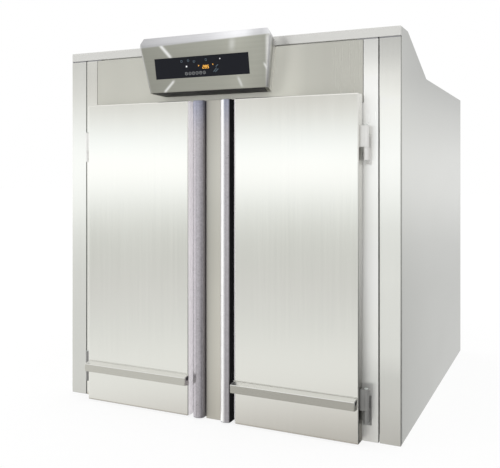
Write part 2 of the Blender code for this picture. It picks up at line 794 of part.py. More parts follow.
def rail_corners(side):
    """Corner points of a kick rail: a tall back on the door and a lower, shorter face."""
    back = LEAF_FRONT - GAP
    face = LEAF_FRONT - RAIL_DEPTH
    inner = RECESS_EDGE - RAIL_OVERHANG
    outer = DOOR_EDGE - RAIL_MARGIN_OUTER
    low = RAIL_BOTTOM + RAIL_DROP
    corners = []
    for x in (inner, outer):
        taper = RAIL_END_TAPER if x == inner else -RAIL_END_TAPER
        for y, z, shift in ((back, RAIL_BOTTOM, 0), (back, RAIL_BOTTOM + RAIL_HEIGHT, 0),
                            (face, low, taper), (face, low + RAIL_FACE_HEIGHT, taper)):
            corners.append((side * (x + shift), y, z))
    return corners


def build_rail(name, side, look, parts, cutters, parent):
    mesh = hull_mesh(name, rail_corners(side))
    bm = bmesh.new()
    bm.from_mesh(mesh)
    back = [face for face in bm.faces if face.normal.y > 0.9]
    bmesh.ops.delete(bm, geom=back, context="FACES")
    folds = [edge for edge in bm.edges if not edge.is_boundary]
    bmesh.ops.bevel(bm, geom=folds, offset=RAIL_RADIUS, segments=3, profile=0.5, affect="EDGES")
    bm.to_mesh(mesh)
    bm.free()
    rail = add_object(name, mesh, look["bright_steel"], parts, parent)
    add_solidify(rail, RAIL_SHEET)
    reach = sorted((side * MEETING_EDGE, side * HALF))
    trim_behind(rail, (reach[0], RAIL_BOTTOM), (reach[1], RAIL_BOTTOM + RAIL_HEIGHT), LEAF_FRONT - GAP,
                cutters)


def build_hinge(side, word, level, base, look, parts, cutters, axis_empty):
    """One lift-off hinge: the frame half with its barrel, the pin, and the door half."""
    place = f"{level}_{word}"
    x = side * HINGE_X
    barrel_low = base - BARREL_HEIGHT
    knuckle_low = base + KNUCKLE_LIFT
    knuckle_high = knuckle_low + KNUCKLE_HEIGHT
    half_plate = HINGE_PLATE_WIDTH / 2
    half_web = HINGE_WEB / 2

    # Frame half: plate on the jamb, web, and the barrel that carries the pin.
    plate_low = barrel_low - (HINGE_PLATE_HEIGHT - KNUCKLE_HEIGHT) / 2
    name = "hinge_frame_" + place
    frame = box(name, (x - half_plate, FRONT - GAP - HINGE_PLATE, plate_low),
                (x + half_plate, FRONT - GAP, plate_low + HINGE_PLATE_HEIGHT), look["dark_steel"], parts)
    web = add_object(
        f"web_{place}",
        box_mesh("web", (x - half_web, HINGE_Y, barrel_low),
                 (x + half_web, FRONT - GAP - HINGE_PLATE / 2, base)), None, cutters)
    add_boolean(frame, web, "UNION")
    barrel = add_object(
        f"barrel_{place}",
        cylinder_mesh("barrel", BARREL_RADIUS, (x, HINGE_Y, barrel_low), (x, HINGE_Y, base), ROUND),
        None, cutters)
    add_boolean(frame, barrel, "UNION")
    seat = add_object(
        f"pin_seat_{place}",
        cylinder_mesh("pin_seat", PIN_RADIUS + GAP, (x, HINGE_Y, base - PIN_SEAT - GAP),
                      (x, HINGE_Y, base + OVERRUN), SMALL_ROUND), None, cutters)
    add_boolean(frame, seat)

    name = "hinge_pin_" + place
    pin = add_object(
        name, cylinder_mesh(name, PIN_RADIUS, (x, HINGE_Y, base - PIN_SEAT), (x, HINGE_Y, base + PIN_RISE),
                            SMALL_ROUND), look["bright_steel"], parts)
    smooth(pin)

    # Door half: a knuckle round the pin and an arm to the leaf's outer edge.
    name = "hinge_door_" + place
    arm_inner = side * (DOOR_EDGE + GAP)
    arm_low = (min(arm_inner, x), HINGE_Y - BARREL_RADIUS, knuckle_low)
    arm_high = (max(arm_inner, x), HINGE_Y + BARREL_RADIUS, knuckle_high)
    door = box(name, arm_low, arm_high, look["dark_steel"], parts, axis_empty)
    knuckle = add_object(
        f"knuckle_{place}",
        cylinder_mesh("knuckle", BARREL_RADIUS + SHEET_EDGE, (x, HINGE_Y, knuckle_low - SHEET_EDGE),
                      (x, HINGE_Y, knuckle_high + SHEET_EDGE), ROUND), None, cutters)
    add_boolean(door, knuckle, "UNION")
    bore = add_object(
        f"pin_bore_{place}",
        cylinder_mesh("pin_bore", PIN_RADIUS + GAP, (x, HINGE_Y, knuckle_low - OVERRUN),
                      (x, HINGE_Y, base + PIN_RISE + GAP), SMALL_ROUND), None, cutters)
    add_boolean(door, bore)


def build_door(side, word, look, parts, cutters):
    axis_empty = empty(f"{word}_door_axis", (side * HINGE_X, HINGE_Y, 0), parts)

    name = "door_leaf_" + word
    mesh = outline_mesh(name, mirrored(leaf_outline(), side), DOOR_CLEARANCE, DOOR_TOP, PLAN)
    add_bevel(add_object(name, mesh, look["door_steel"], parts, axis_empty), LEAF_RADIUS, 3)

    name = "door_handle_" + word
    mesh = outline_mesh(name, mirrored(handle_outline(), side), DOOR_CLEARANCE, DOOR_TOP, PLAN)
    add_bevel(add_object(name, mesh, look["anodised"], parts, axis_empty), SHEET_EDGE)

    name = "door_gasket_" + word
    mesh = outline_mesh(name, mirrored(gasket_outline(), side), LEAF_BACK + GAP, FRONT - GAP, FRONT_VIEW)
    add_bevel(add_object(name, mesh, look["rubber"], parts, axis_empty), SHEET_EDGE)

    build_rail("kick_rail_" + word, side, look, parts, cutters, axis_empty)
    for level, base in HINGE_BASES:
        build_hinge(side, word, level, base, look, parts, cutters, axis_empty)


# Air system

def slot_outline(x, z):
    """A slot with round ends."""
    radius = SLOT_HEIGHT / 2
    half = SLOT_LENGTH / 2 - radius
    return (arc((x + half, z), radius, -90, 90, ARC_STEPS // 2)
            + arc((x - half, z), radius, 90, 270, ARC_STEPS // 2))


def build_duct(look, parts, cutters):
    """Folded sheet in front of the rear panel, with fan holes above and air slots below."""
    half = INNER_HALF - DUCT_FLANGE - DUCT_MARGIN
    back = REAR_FACE - GAP
    sheet = DUCT_SHEET
    outer = [(-half - DUCT_FLANGE, back), (-half - DUCT_FLANGE, back - sheet), (-half, back - sheet),
             (-half, DUCT_FACE), (half, DUCT_FACE), (half, back - sheet), (half + DUCT_FLANGE, back - sheet),
             (half + DUCT_FLANGE, back)]
    inner = [(half - sheet, back), (half - sheet, DUCT_FACE + sheet), (-half + sheet, DUCT_FACE + sheet),
             (-half + sheet, back)]
    mesh = outline_mesh("rear_duct", outer + inner, DUCT_BOTTOM, DUCT_TOP, PLAN)
    duct = add_object("rear_duct", mesh, look["steel"], parts)
    cut = (DUCT_FACE - OVERRUN, DUCT_FACE + sheet + OVERRUN)
    for side, word in SIDES:
        x = side * FAN_SPACING / 2
        name = "fan_hole_" + word
        hole = add_object(
            name, cylinder_mesh(name, FAN_HOLE_RADIUS, (x, cut[0], FAN_HEIGHT), (x, cut[1], FAN_HEIGHT)),
            None, cutters)
        add_boolean(duct, hole)
        for row in range(SLOT_ROWS):
            name = f"air_slot_{word}_{row}"
            outline = slot_outline(side * SLOT_SPACING / 2, SLOT_BOTTOM + row * SLOT_PITCH)
            slot = add_object(name, outline_mesh(name, outline, *cut, FRONT_VIEW), None, cutters)
            add_boolean(duct, slot)


def torus_mesh(name, major, minor):
    """A wire ring about the origin, in the plane of a front view."""
    points = [(major * math.cos(angle), 0, major * math.sin(angle))
              for angle in (math.tau * (step + 0.5) / GUARD_ROUND for step in range(GUARD_ROUND))]
    curve = bpy.data.curves.new(name, "CURVE")
    curve.dimensions = "3D"
    curve.bevel_depth = minor
    curve.bevel_resolution = 1
    spline = curve.splines.new("POLY")
    spline.points.add(len(points) - 1)
    for point, spot in zip(spline.points, points):
        point.co = (*spot, 1)
    spline.use_cyclic_u = True
    obj = bpy.data.objects.new(name, curve)
    bpy.context.scene.collection.objects.link(obj)
    bpy.context.view_layer.update()
    return curve_to_mesh(obj, name)


def build_guard(word, x, look, parts, cutters):
    """Wire rings joined by spokes, on a centre cap, in front of the fan's hole."""
    centre = Vector((x, DUCT_FACE - GAP - GUARD_WIRE, FAN_HEIGHT))
    name = "fan_guard_" + word
    cap_radius = GUARD_RADIUS / (GUARD_RINGS + 1)
    cap = cylinder_mesh(name, cap_radius, (0, -GUARD_WIRE, 0), (0, GUARD_WIRE, 0), SMALL_ROUND)
    guard = add_object(name, cap, look["bright_steel"], parts)
    guard.location = centre
    for ring in range(1, GUARD_RINGS + 1):
        radius = cap_radius + (GUARD_RADIUS - cap_radius) * ring / GUARD_RINGS
        ring_name = f"guard_ring_{word}_{ring}"
        wire = add_object(ring_name, torus_mesh(ring_name, radius, GUARD_WIRE), None, cutters)
        wire.location = centre
        add_boolean(guard, wire, "UNION")
    for spoke in range(GUARD_SPOKES):
        angle = math.tau * (spoke + 0.5) / GUARD_SPOKES
        outward = Vector((math.cos(angle), 0, math.sin(angle)))
        spoke_name = f"guard_spoke_{word}_{spoke}"
        wire = add_object(
            spoke_name,
            cylinder_mesh(spoke_name, GUARD_SPOKE, outward * cap_radius / 2, outward * GUARD_RADIUS, 8),
            None, cutters)
        wire.location = centre + Vector((0, GUARD_SPOKE_SETBACK, 0))
        add_boolean(guard, wire, "UNION")


def blade_mesh(name, centre, angle):
    """One fan blade: a twisted strip given thickness, from inside the hub to the tip."""
    bm = bmesh.new()
    rows = []
    for step in range(BLADE_STEPS + 1):
        share = step / BLADE_STEPS
        radius = BLADE_ROOT + (ROTOR_RADIUS - BLADE_ROOT) * share
        chord_share = BLADE_CHORD_SHARE * (BLADE_ROOT_SHARE + (1 - BLADE_ROOT_SHARE) * share)
        spread = chord_share * math.tau / BLADE_COUNT / 2
        lean = BLADE_DEPTH / 2
        row = []
        for end in (-1, 1):
            turn = angle + end * spread
            row.append(bm.verts.new((
                centre[0] + radius * math.cos(turn), centre[1] + end * lean,
                centre[2] + radius * math.sin(turn))))
        middle = (centre[0] + radius * math.cos(angle), centre[1], centre[2] + radius * math.sin(angle))
        row.insert(1, bm.verts.new(middle))
        rows.append(row)
    for row, next_row in zip(rows, rows[1:]):
        for first in (0, 1):
            bm.faces.new((row[first], row[first + 1], next_row[first + 1], next_row[first]))
    bmesh.ops.recalc_face_normals(bm, faces=bm.faces)
    bmesh.ops.solidify(bm, geom=bm.faces[:], thickness=BLADE)
    bmesh.ops.recalc_face_normals(bm, faces=bm.faces)
    mesh = bpy.data.meshes.new(name)
    bm.to_mesh(mesh)
    bm.free()
    return mesh


def build_fan(side, word, look, parts, cutters):
    x = side * FAN_SPACING / 2
    build_guard(word, x, look, parts, cutters)

    hub_front = DUCT_FACE + DUCT_SHEET + ROTOR_CLEARANCE
    hub_back = hub_front + HUB_DEPTH
    middle = (x, (hub_front + hub_back) / 2, FAN_HEIGHT)
    axis_empty = empty(f"fan_{word}_axis", middle, parts)
    name = "fan_rotor_" + word
    hub = cylinder_mesh(name, HUB_RADIUS, (x, hub_front, FAN_HEIGHT), (x, hub_back, FAN_HEIGHT))
    rotor = add_object(name, hub, look["black_plastic"], parts, axis_empty)
    for index in range(BLADE_COUNT):
        blade_name = f"fan_blade_{word}_{index}"
        blade = add_object(
            blade_name, blade_mesh(blade_name, middle, math.tau * index / BLADE_COUNT), None, cutters)
        add_boolean(rotor, blade, "UNION")
    bore_name = "rotor_bore_" + word
    bore = add_object(
        bore_name,
        cylinder_mesh(bore_name, SHAFT_RADIUS + GAP, (x, hub_back - SHAFT_REACH - GAP, FAN_HEIGHT),
                      (x, hub_back + OVERRUN, FAN_HEIGHT), SMALL_ROUND), None, cutters)
    add_boolean(rotor, bore)

    # Motor with its shaft, on a strap that spans back to the rear panel.
    motor_front = hub_back + MOTOR_CLEARANCE
    motor_back = motor_front + MOTOR_DEPTH
    name = "fan_motor_" + word
    motor = add_object(
        name, cylinder_mesh(name, MOTOR_RADIUS, (x, motor_front, FAN_HEIGHT), (x, motor_back, FAN_HEIGHT)),
        look["dark_steel"], parts)
    shaft = add_object(
        "shaft_" + word,
        cylinder_mesh("shaft", SHAFT_RADIUS, (x, hub_back - SHAFT_REACH, FAN_HEIGHT),
                      (x, motor_front + OVERRUN, FAN_HEIGHT), SMALL_ROUND), None, cutters)
    add_boolean(motor, shaft, "UNION")
    half = BRACKET_REACH / 2
    back = REAR_FACE - GAP
    strap_front = motor_back - BRACKET
    outline = [
        (x - half - BRACKET_WIDTH, back), (x - half - BRACKET_WIDTH, back - BRACKET),
        (x - half, back - BRACKET), (x - half, strap_front), (x + half, strap_front),
        (x + half, back - BRACKET), (x + half + BRACKET_WIDTH, back - BRACKET),
        (x + half + BRACKET_WIDTH, back), (x + half - BRACKET, back),
        (x + half - BRACKET, strap_front + BRACKET), (x - half + BRACKET, strap_front + BRACKET),
        (x - half + BRACKET, back)]
    strap_name = "motor_strap_" + word
    strap = add_object(
        strap_name,
        outline_mesh(strap_name, outline, FAN_HEIGHT - BRACKET_WIDTH / 2, FAN_HEIGHT + BRACKET_WIDTH / 2,
                     PLAN), None, cutters)
    add_boolean(motor, strap, "UNION")


def heater_path():
    """A serpentine of straight runs and half-round returns, both ends turned back to the wall."""
    top = FAN_HEIGHT - HEATER_DROP
    y = REAR_FACE - HEATER_OFF_WALL
    wall = REAR_FACE - GAP
    half = HEATER_WIDTH / 2
    radius = HEATER_PITCH / 2
    points = [(-half, wall, top), (-half, y + radius, top)]
    points += [(-half + u, y + v, top) for u, v in arc((radius, radius), radius, 180, 270, 4)][1:]
    for run in range(HEATER_RUNS):
        z = top - run * HEATER_PITCH
        sense = 1 if run % 2 == 0 else -1
        if run == HEATER_RUNS - 1:
            end = sense * half
            points += [(end - sense * radius, y, z)]
            points += [(end - sense * (radius - u), y + v, z)
                       for u, v in arc((0, radius), radius, 270, 360, 4)][1:]
            points += [(end, wall, z)]
        else:
            centre = (sense * (half - radius), z - radius)
            turn = arc(centre, radius, 90, 90 - sense * 180, 6)
            points += [(u, y, v) for u, v in turn]
    return points


def build_heater_and_steam(look, parts):
    heater = add_object("heater_element", tube_mesh("heater_element", heater_path(), HEATER_TUBE, 2),
                        look["dark_steel"], parts)
    smooth(heater)
    back = REAR_FACE - GAP
    low = (-STEAM_WIDTH / 2, back - STEAM_DEPTH, STEAM_BOTTOM)
    high = (STEAM_WIDTH / 2, back, STEAM_BOTTOM + STEAM_HEIGHT)
    box("steam_generator", low, high, look["steel"], parts, bevel=STEAM_EDGE)

    # The pipe rises clear of the heater's runs, between the two fans, and turns to the chamber.
    y = back - STEAM_DEPTH / 2
    top = DUCT_TOP - PIPE_DROP
    bend = arc((y - PIPE_BEND, top - PIPE_BEND), PIPE_BEND, 0, 90, 5)
    path = [(0, y, high[2] + GAP)]
    path += [(0, v, w) for v, w in bend]
    path += [(0, bend[-1][0] - PIPE_REACH, top)]
    smooth(add_object("steam_pipe", tube_mesh("steam_pipe", path, PIPE_RADIUS), look["steel"], parts))


# Chamber fittings

def lamp_outline(length, width):
    half = length / 2 - width / 2
    return (arc((half, 0), width / 2, -90, 90, LAMP_SEGMENTS)
            + arc((-half, 0), width / 2, 90, 270, LAMP_SEGMENTS))


def build_chamber_fittings(look, parts):
    y = FRONT + LAMP_SETBACK
    top = CEILING - GAP
    outline = [(u, y + v) for u, v in lamp_outline(LAMP_LENGTH, LAMP_WIDTH)]
    mesh = outline_mesh("lamp_housing", outline, top - LAMP_BASE, top, PLAN)
    add_bevel(add_object("lamp_housing", mesh, look["black_plastic"], parts), PANEL_EDGE)
    inset = LAMP_RIM * 2
    outline = [(u, y + v) for u, v in lamp_outline(LAMP_LENGTH - inset, LAMP_WIDTH - inset)]
    lens_top = top - LAMP_BASE - GAP
    mesh = outline_mesh("lamp_lens", outline, lens_top - LAMP_LENS, lens_top, PLAN)
    lens = add_object("lamp_lens", mesh, look["lens"], parts)
    add_bevel(lens, PANEL_EDGE * 2, 3)

    for side, word in SIDES:
        wall = INNER_HALF - GAP
        face = wall - BUMPER_DEPTH
        outline = mirrored([
            (wall, BUMPER_BOTTOM), (wall, BUMPER_BOTTOM + BUMPER_HEIGHT),
            (face, BUMPER_BOTTOM + BUMPER_HEIGHT - BUMPER_CHAMFER), (face, BUMPER_BOTTOM + BUMPER_CHAMFER)],
            side)
        name = "rack_bumper_" + word
        mesh = outline_mesh(name, outline, FRONT + BUMPER_FRONT, DUCT_FACE - BUMPER_REAR, FRONT_VIEW)
        add_bevel(add_object(name, mesh, look["grey_plastic"], parts), PANEL_EDGE)

    face = DUCT_FACE - GAP
    probe = add_object(
        "climate_probe",
        cylinder_mesh("climate_probe", PROBE_FLANGE_RADIUS, (0, face, PROBE_HEIGHT),
                      (0, face - PROBE_FLANGE, PROBE_HEIGHT), SMALL_ROUND), look["grey_plastic"], parts)
    return probe


def build_probe_stem(probe, cutters):
    face = DUCT_FACE - GAP
    stem = add_object(
        "probe_stem",
        cylinder_mesh("probe_stem", PROBE_RADIUS, (0, face - PROBE_FLANGE / 2, PROBE_HEIGHT),
                      (0, face - PROBE_LENGTH, PROBE_HEIGHT), SMALL_ROUND), None, cutters)
    add_boolean(probe, stem, "UNION")


def main():
    clear_scene()
    parts = new_collection("proofing_cabinet")
    cutters = new_collection("cutters")
    look = {
        "steel": new_material("satin_steel", (0.78, 0.77, 0.74), 0.34, 1.0),
        "door_steel": new_material("door_steel", (0.82, 0.81, 0.78), 0.30, 1.0),
        "bright_steel": new_material("bright_steel", (0.84, 0.84, 0.83), 0.22, 1.0),
        "dark_steel": new_material("cast_steel", (0.42, 0.42, 0.41), 0.45, 1.0),
        "anodised": new_material("anodised_aluminium", (0.66, 0.64, 0.66), 0.38, 1.0),
        "black_glass": new_material("black_glass", (0.012, 0.013, 0.016), 0.12, 0.0),
        "black_plastic": new_material("black_plastic", (0.02, 0.02, 0.02), 0.45, 0.0),
        "grey_plastic": new_material("grey_plastic", (0.45, 0.46, 0.47), 0.50, 0.0),
        "rubber": new_material("grey_rubber", (0.09, 0.09, 0.095), 0.75, 0.0),
        "brass": new_material("brass", (0.72, 0.55, 0.26), 0.35, 1.0),
        "circuit_board": new_material("circuit_board", (0.03, 0.20, 0.09), 0.50, 0.0),
        "lens": new_material("lamp_lens", (0.86, 0.86, 0.82), 0.35, 0.0),
    }
    build_side_panels(look, parts)
    build_rear_and_roof(look, parts)
    build_floor_pan(look, parts)
    build_frame(look, parts)
    build_facade(look, parts)
    build_mullion(look, parts)
    build_hood(look, parts)
    build_services(look, parts, cutters)
    build_console(look, parts, cutters)
    build_console_base(look, parts)
    for side, word in SIDES:
        build_door(side, word, look, parts, cutters)
        build_fan(side, word, look, parts, cutters)
    build_duct(look, parts, cutters)
    build_heater_and_steam(look, parts)
    build_probe_stem(build_chamber_fittings(look, parts), cutters)


main()
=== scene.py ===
import math

import bmesh
import bpy
from mathutils import Matrix, Vector


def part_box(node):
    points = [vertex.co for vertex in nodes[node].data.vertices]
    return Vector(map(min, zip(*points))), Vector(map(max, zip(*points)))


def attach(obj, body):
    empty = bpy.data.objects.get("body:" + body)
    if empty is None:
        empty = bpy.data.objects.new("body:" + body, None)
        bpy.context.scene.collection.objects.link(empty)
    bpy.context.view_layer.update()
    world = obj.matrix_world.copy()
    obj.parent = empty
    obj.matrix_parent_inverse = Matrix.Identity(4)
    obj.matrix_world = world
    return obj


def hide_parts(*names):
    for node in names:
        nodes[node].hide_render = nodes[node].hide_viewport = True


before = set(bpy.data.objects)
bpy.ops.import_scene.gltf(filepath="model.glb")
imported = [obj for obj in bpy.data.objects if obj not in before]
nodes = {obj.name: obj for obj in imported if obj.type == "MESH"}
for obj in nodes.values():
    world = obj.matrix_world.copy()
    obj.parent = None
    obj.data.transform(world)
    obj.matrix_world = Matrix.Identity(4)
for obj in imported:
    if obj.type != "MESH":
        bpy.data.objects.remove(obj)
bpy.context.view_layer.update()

scene = bpy.context.scene


# Node helpers.
# Sockets of the mix node when it mixes colours.
MIX_FACTOR, MIX_FIRST, MIX_SECOND, MIX_RESULT = 0, 6, 7, 2


class Tree:
    """A small wrapper that adds and links shader nodes."""

    def __init__(self, tree):
        self.tree = tree
        tree.nodes.clear()

    def add(self, kind, inputs=None, **settings):
        node = self.tree.nodes.new(kind)
        for name, value in settings.items():
            setattr(node, name, value)
        for name, value in (inputs or {}).items():
            socket = node.inputs[name]
            if isinstance(value, bpy.types.NodeSocket):
                self.tree.links.new(value, socket)
            else:
                socket.default_value = value
        return node

    def math(self, operation, first, second=0.0, third=0.0):
        values = {0: first, 1: second, 2: third}
        return self.add("ShaderNodeMath", values, operation=operation).outputs[0]

    def ramp(self, factor, stops):
        node = self.add("ShaderNodeValToRGB", {"Fac": factor})
        elements = node.color_ramp.elements
        node.color_ramp.interpolation = "LINEAR"
        while len(elements) > 1:
            elements.remove(elements[0])
        elements[0].position, elements[0].color = stops[0][0], colour(stops[0][1])
        for position, value in stops[1:]:
            element = elements.new(position)
            element.color = colour(value)
        return node.outputs["Color"]

    def mix(self, factor, first, second, blend="MIX"):
        node = self.add("ShaderNodeMix", data_type="RGBA", blend_type=blend)
        for number, value in ((MIX_FACTOR, factor), (MIX_FIRST, first), (MIX_SECOND, second)):
            socket = node.inputs[number]
            if isinstance(value, bpy.types.NodeSocket):
                self.tree.links.new(value, socket)
            else:
                socket.default_value = value if socket.type == "VALUE" else colour(value)
        return node.outputs[MIX_RESULT]

    def noise(self, vector, scale, detail, roughness):
        node = self.add("ShaderNodeTexNoise", {"Vector": vector, "Scale": scale, "Detail": detail,
                                               "Roughness": roughness})
        return node.outputs["Fac"]

    def stretched(self, vector, scale):
        return self.add("ShaderNodeMapping", {"Vector": vector, "Scale": scale}).outputs["Vector"]


def colour(value):
    """A grey level or an RGB triple as RGBA."""
    if isinstance(value, (int, float)):
        value = (value, value, value)
    return (*value[:3], 1.0)


def new_material(name):
    material = bpy.data.materials.new(name)
    material.use_nodes = True
    return material, Tree(material.node_tree)


# Materials.
# Radii to which each kind of material rounds its edges in the shading.
STEEL_EDGE, CAST_EDGE, MOULDED_EDGE = 0.0012, 0.0015, 0.0008
EDGE_SAMPLES = 4
# Noise scales along and across a brushed grain, for the fine scratches and the wide streaks.
SCRATCH = (14, 1500)
STREAK = (1.2, 70)
# The white of the painted highlight strokes.
PAINTED_HIGHLIGHT_WHITE = (0.98, 0.98, 0.97)


def fade(tree, value, start, end):
    """0 at start, 1 at end, soft between them."""
    return tree.add("ShaderNodeMapRange", {"Value": value, "From Min": start, "From Max": end},
                    interpolation_type="SMOOTHSTEP").outputs[0]


def soft_normal(tree, height, strength, distance, edge):
    """A normal with softly rounded edges and a fine relief."""
    rounded = tree.add("ShaderNodeBevel", {"Radius": edge}, samples=EDGE_SAMPLES)
    relief = tree.add("ShaderNodeBump", {
        "Height": height, "Strength": strength, "Distance": distance,
        "Normal": rounded.outputs["Normal"]})
    return relief.outputs["Normal"]


def varied(tree, noise, amount, level):
    """A level that a noise moves up and down by half the amount."""
    return tree.math("MULTIPLY_ADD", tree.math("SUBTRACT", noise, 0.5), amount, level)


def along_grain(grain, along, across):
    """A vector with one value along the grain's axis and another on the other two."""
    return tuple(along if axis == grain else across for axis in "xyz")


def painted_glint(tree, across, up, start, end, width):
    """A soft painted highlight stroke between two points of the X-Z plane."""
    span = Vector(end) - Vector(start)
    length = span.length
    span.normalize()
    run = tree.math("MULTIPLY_ADD", across, span.x, -start[0] * span.x - start[1] * span.y)
    run = tree.math("MULTIPLY_ADD", up, span.y, run)
    off = tree.math("MULTIPLY_ADD", across, -span.y, start[0] * span.y - start[1] * span.x)
    off = tree.math("MULTIPLY_ADD", up, span.x, off)
    middle = tree.math("ABSOLUTE", tree.math("SUBTRACT", run, length / 2))
    ends = fade(tree, middle, length / 2 + width, length / 2 - width)
    return tree.math("MULTIPLY", fade(tree, tree.math("ABSOLUTE", off), width, 0.0), ends)


def shaded(tree, at, ground, bands):
    """Multiply a colour by tones along axes: bands are (axis, ((place, tone), ...)) pairs."""
    for axis, stops in bands:
        low, reach = stops[0][0], stops[-1][0] - stops[0][0]
        level = tree.math("MULTIPLY_ADD", at[axis], 1 / reach, -low / reach)
        tones = tree.ramp(level, [((place - low) / reach, tone) for place, tone in stops])
        ground = tree.mix(1.0, ground, tones, "MULTIPLY")
    return ground


def brushed_steel(name, base, roughness, grain="z", anisotropy=0.8, streaks=0.03, metallic=1.0,
                  side=None, top=None, fold=None, painted_glints=(), bands=(), side_bands=(), top_bands=()):
    """Brushed stainless: grain along one axis, streaks and clouds in tone, gloss and height.

    side, top: colours for the faces that look sideways and upwards, which paint light and shade on
    them.
    fold: heights between which the top's colour, a painted highlight, comes in below the fold, and
    how fast they rise along X.
    glints: painted highlight strokes with a strength.
    bands, side_bands, top_bands: tones along an axis for the plain, side and top colours, used to
    paint light and shade.
    """
    material, tree = new_material(name)
    coordinates = tree.add("ShaderNodeTexCoord").outputs
    place = coordinates["Object"]
    look = tree.add("ShaderNodeSeparateXYZ", {0: coordinates["Normal"]}).outputs
    at = tree.add("ShaderNodeSeparateXYZ", {0: place}).outputs
    fine = tree.noise(tree.stretched(place, along_grain(grain, *SCRATCH)), 1.0, 3.0, 0.6)
    wide = tree.noise(tree.stretched(place, along_grain(grain, *STREAK)), 1.0, 4.0, 0.6)
    soft = tree.noise(place, 2.2, 2.0, 0.5)
    tone = tree.math("MULTIPLY_ADD", wide, 2 * streaks, 1 - streaks)
    tone = varied(tree, soft, 0.04, tone)
    tone = varied(tree, fine, 0.06, tone)
    ground = shaded(tree, at, base, bands)
    # Painted highlights: white strokes laid into the base colour.
    for start, end, width, strength in painted_glints:
        stroke = painted_glint(tree, at["X"], at["Z"], start, end, width)
        ground = tree.mix(tree.math("MULTIPLY", stroke, strength), ground, PAINTED_HIGHLIGHT_WHITE)
    # Painted light: upward faces, and with fold the face just below the fold, take the top colour.
    if top:
        painted_top_mask = fade(tree, look["Z"], 0.12, 0.24)
        if fold:
            rise = tree.math("MULTIPLY_ADD", at["X"], -fold[2], at["Z"])
            painted_top_mask = tree.math("MAXIMUM", painted_top_mask, fade(tree, rise, fold[0], fold[1]))
        ground = tree.mix(painted_top_mask, ground, shaded(tree, at, top, top_bands))
    # Painted light and shade: faces that turn sideways take the side colour.
    if side:
        aside = fade(tree, tree.math("ABSOLUTE", look["X"]), *side[0])
        ground = tree.mix(aside, ground, shaded(tree, at, side[1], side_bands))
    rough = varied(tree, wide, 0.06, roughness)
    rough = varied(tree, soft, 0.06, rough)
    # The highlight stretches across the grain, so the tangent lies at right angles to it.
    along = {"x": (1.0, 0.02, 0.02), "y": (0.02, 1.0, 0.02), "z": (0.0, 0.02, 1.0)}[grain]
    outward = tree.add("ShaderNodeNewGeometry").outputs["Normal"]
    across = tree.add("ShaderNodeVectorMath", {0: outward, 1: along}, operation="CROSS_PRODUCT")
    shader = tree.add("ShaderNodeBsdfPrincipled", {
        "Base Color": tree.mix(1.0, ground, tone, "MULTIPLY"),
        "Metallic": metallic, "Roughness": rough, "Anisotropic": anisotropy,
        "Normal": soft_normal(tree, fine, 0.02, 0.0004, STEEL_EDGE),
        "Tangent": across.outputs[0]})
    tree.add("ShaderNodeOutputMaterial", {"Surface": shader.outputs[0]})
    return material


def cast_metal(name, base, roughness, grain_scale=900.0, metallic=1.0, bump=0.15, spread=0.10,
               nose=None, pale=None, bands=()):
    """Blasted or cast metal with a fine speckle in tone, gloss and height.

    nose: (start, end, tone) darkens the faces that turn to +X, as painted shade. pale: (start,
    end, colour) paints a highlight on those that turn to -X. bands: tones along an axis.
    """
    material, tree = new_material(name)
    coordinates = tree.add("ShaderNodeTexCoord").outputs
    place = coordinates["Object"]
    speckle = tree.noise(place, grain_scale, 3.0, 0.7)
    blotch = tree.noise(place, 35.0, 3.0, 0.6)
    tone = tree.math("MULTIPLY_ADD", speckle, 2 * spread, 1 - spread)
    tone = varied(tree, blotch, spread, tone)
    turn = tree.add("ShaderNodeSeparateXYZ", {0: coordinates["Normal"]}).outputs["X"]
    at = tree.add("ShaderNodeSeparateXYZ", {0: place}).outputs
    ground = shaded(tree, at, base, bands)
    # Painted shade on the faces that turn to +X.
    if nose:
        painted_shade_turn = fade(tree, turn, nose[0], nose[1])
        dark = tree.math("MULTIPLY_ADD", painted_shade_turn, nose[2] - 1, 1.0)
        tone = tree.math("MULTIPLY", tone, dark)
    # Painted highlight on the faces that turn to -X.
    if pale:
        ground = tree.mix(fade(tree, turn, pale[0], pale[1]), ground, pale[2])
    shader = tree.add("ShaderNodeBsdfPrincipled", {
        "Base Color": tree.mix(1.0, ground, tone, "MULTIPLY"),
        "Metallic": metallic, "Roughness": varied(tree, blotch, 0.12, roughness),
        "Normal": soft_normal(tree, speckle, bump, 0.0005, CAST_EDGE)})
    tree.add("ShaderNodeOutputMaterial", {"Surface": shader.outputs[0]})
    return material


def moulded(name, base, roughness, texture=700.0, bump=0.10, spread=0.10, specular=0.5,
            emission=None, strength=0.0):
    """Moulded plastic, rubber, board or glass with a fine skin texture."""
    material, tree = new_material(name)
    place = tree.add("ShaderNodeTexCoord").outputs["Object"]
    skin = tree.noise(place, texture, 2.0, 0.6)
    blotch = tree.noise(place, 14.0, 3.0, 0.6)
    tone = tree.math("MULTIPLY_ADD", skin, 2 * spread, 1 - spread)
    tone = varied(tree, blotch, spread, tone)
    values = {
        "Base Color": tree.mix(1.0, base, tone, "MULTIPLY"),
        "Roughness": varied(tree, blotch, 0.08, roughness), "Specular IOR Level": specular,
        "Normal": soft_normal(tree, skin, bump, 0.0003, MOULDED_EDGE)}
    if emission:
        values["Emission Color"] = colour(emission)
        values["Emission Strength"] = strength
    shader = tree.add("ShaderNodeBsdfPrincipled", values)
    tree.add("ShaderNodeOutputMaterial", {"Surface": shader.outputs[0]})
    return material


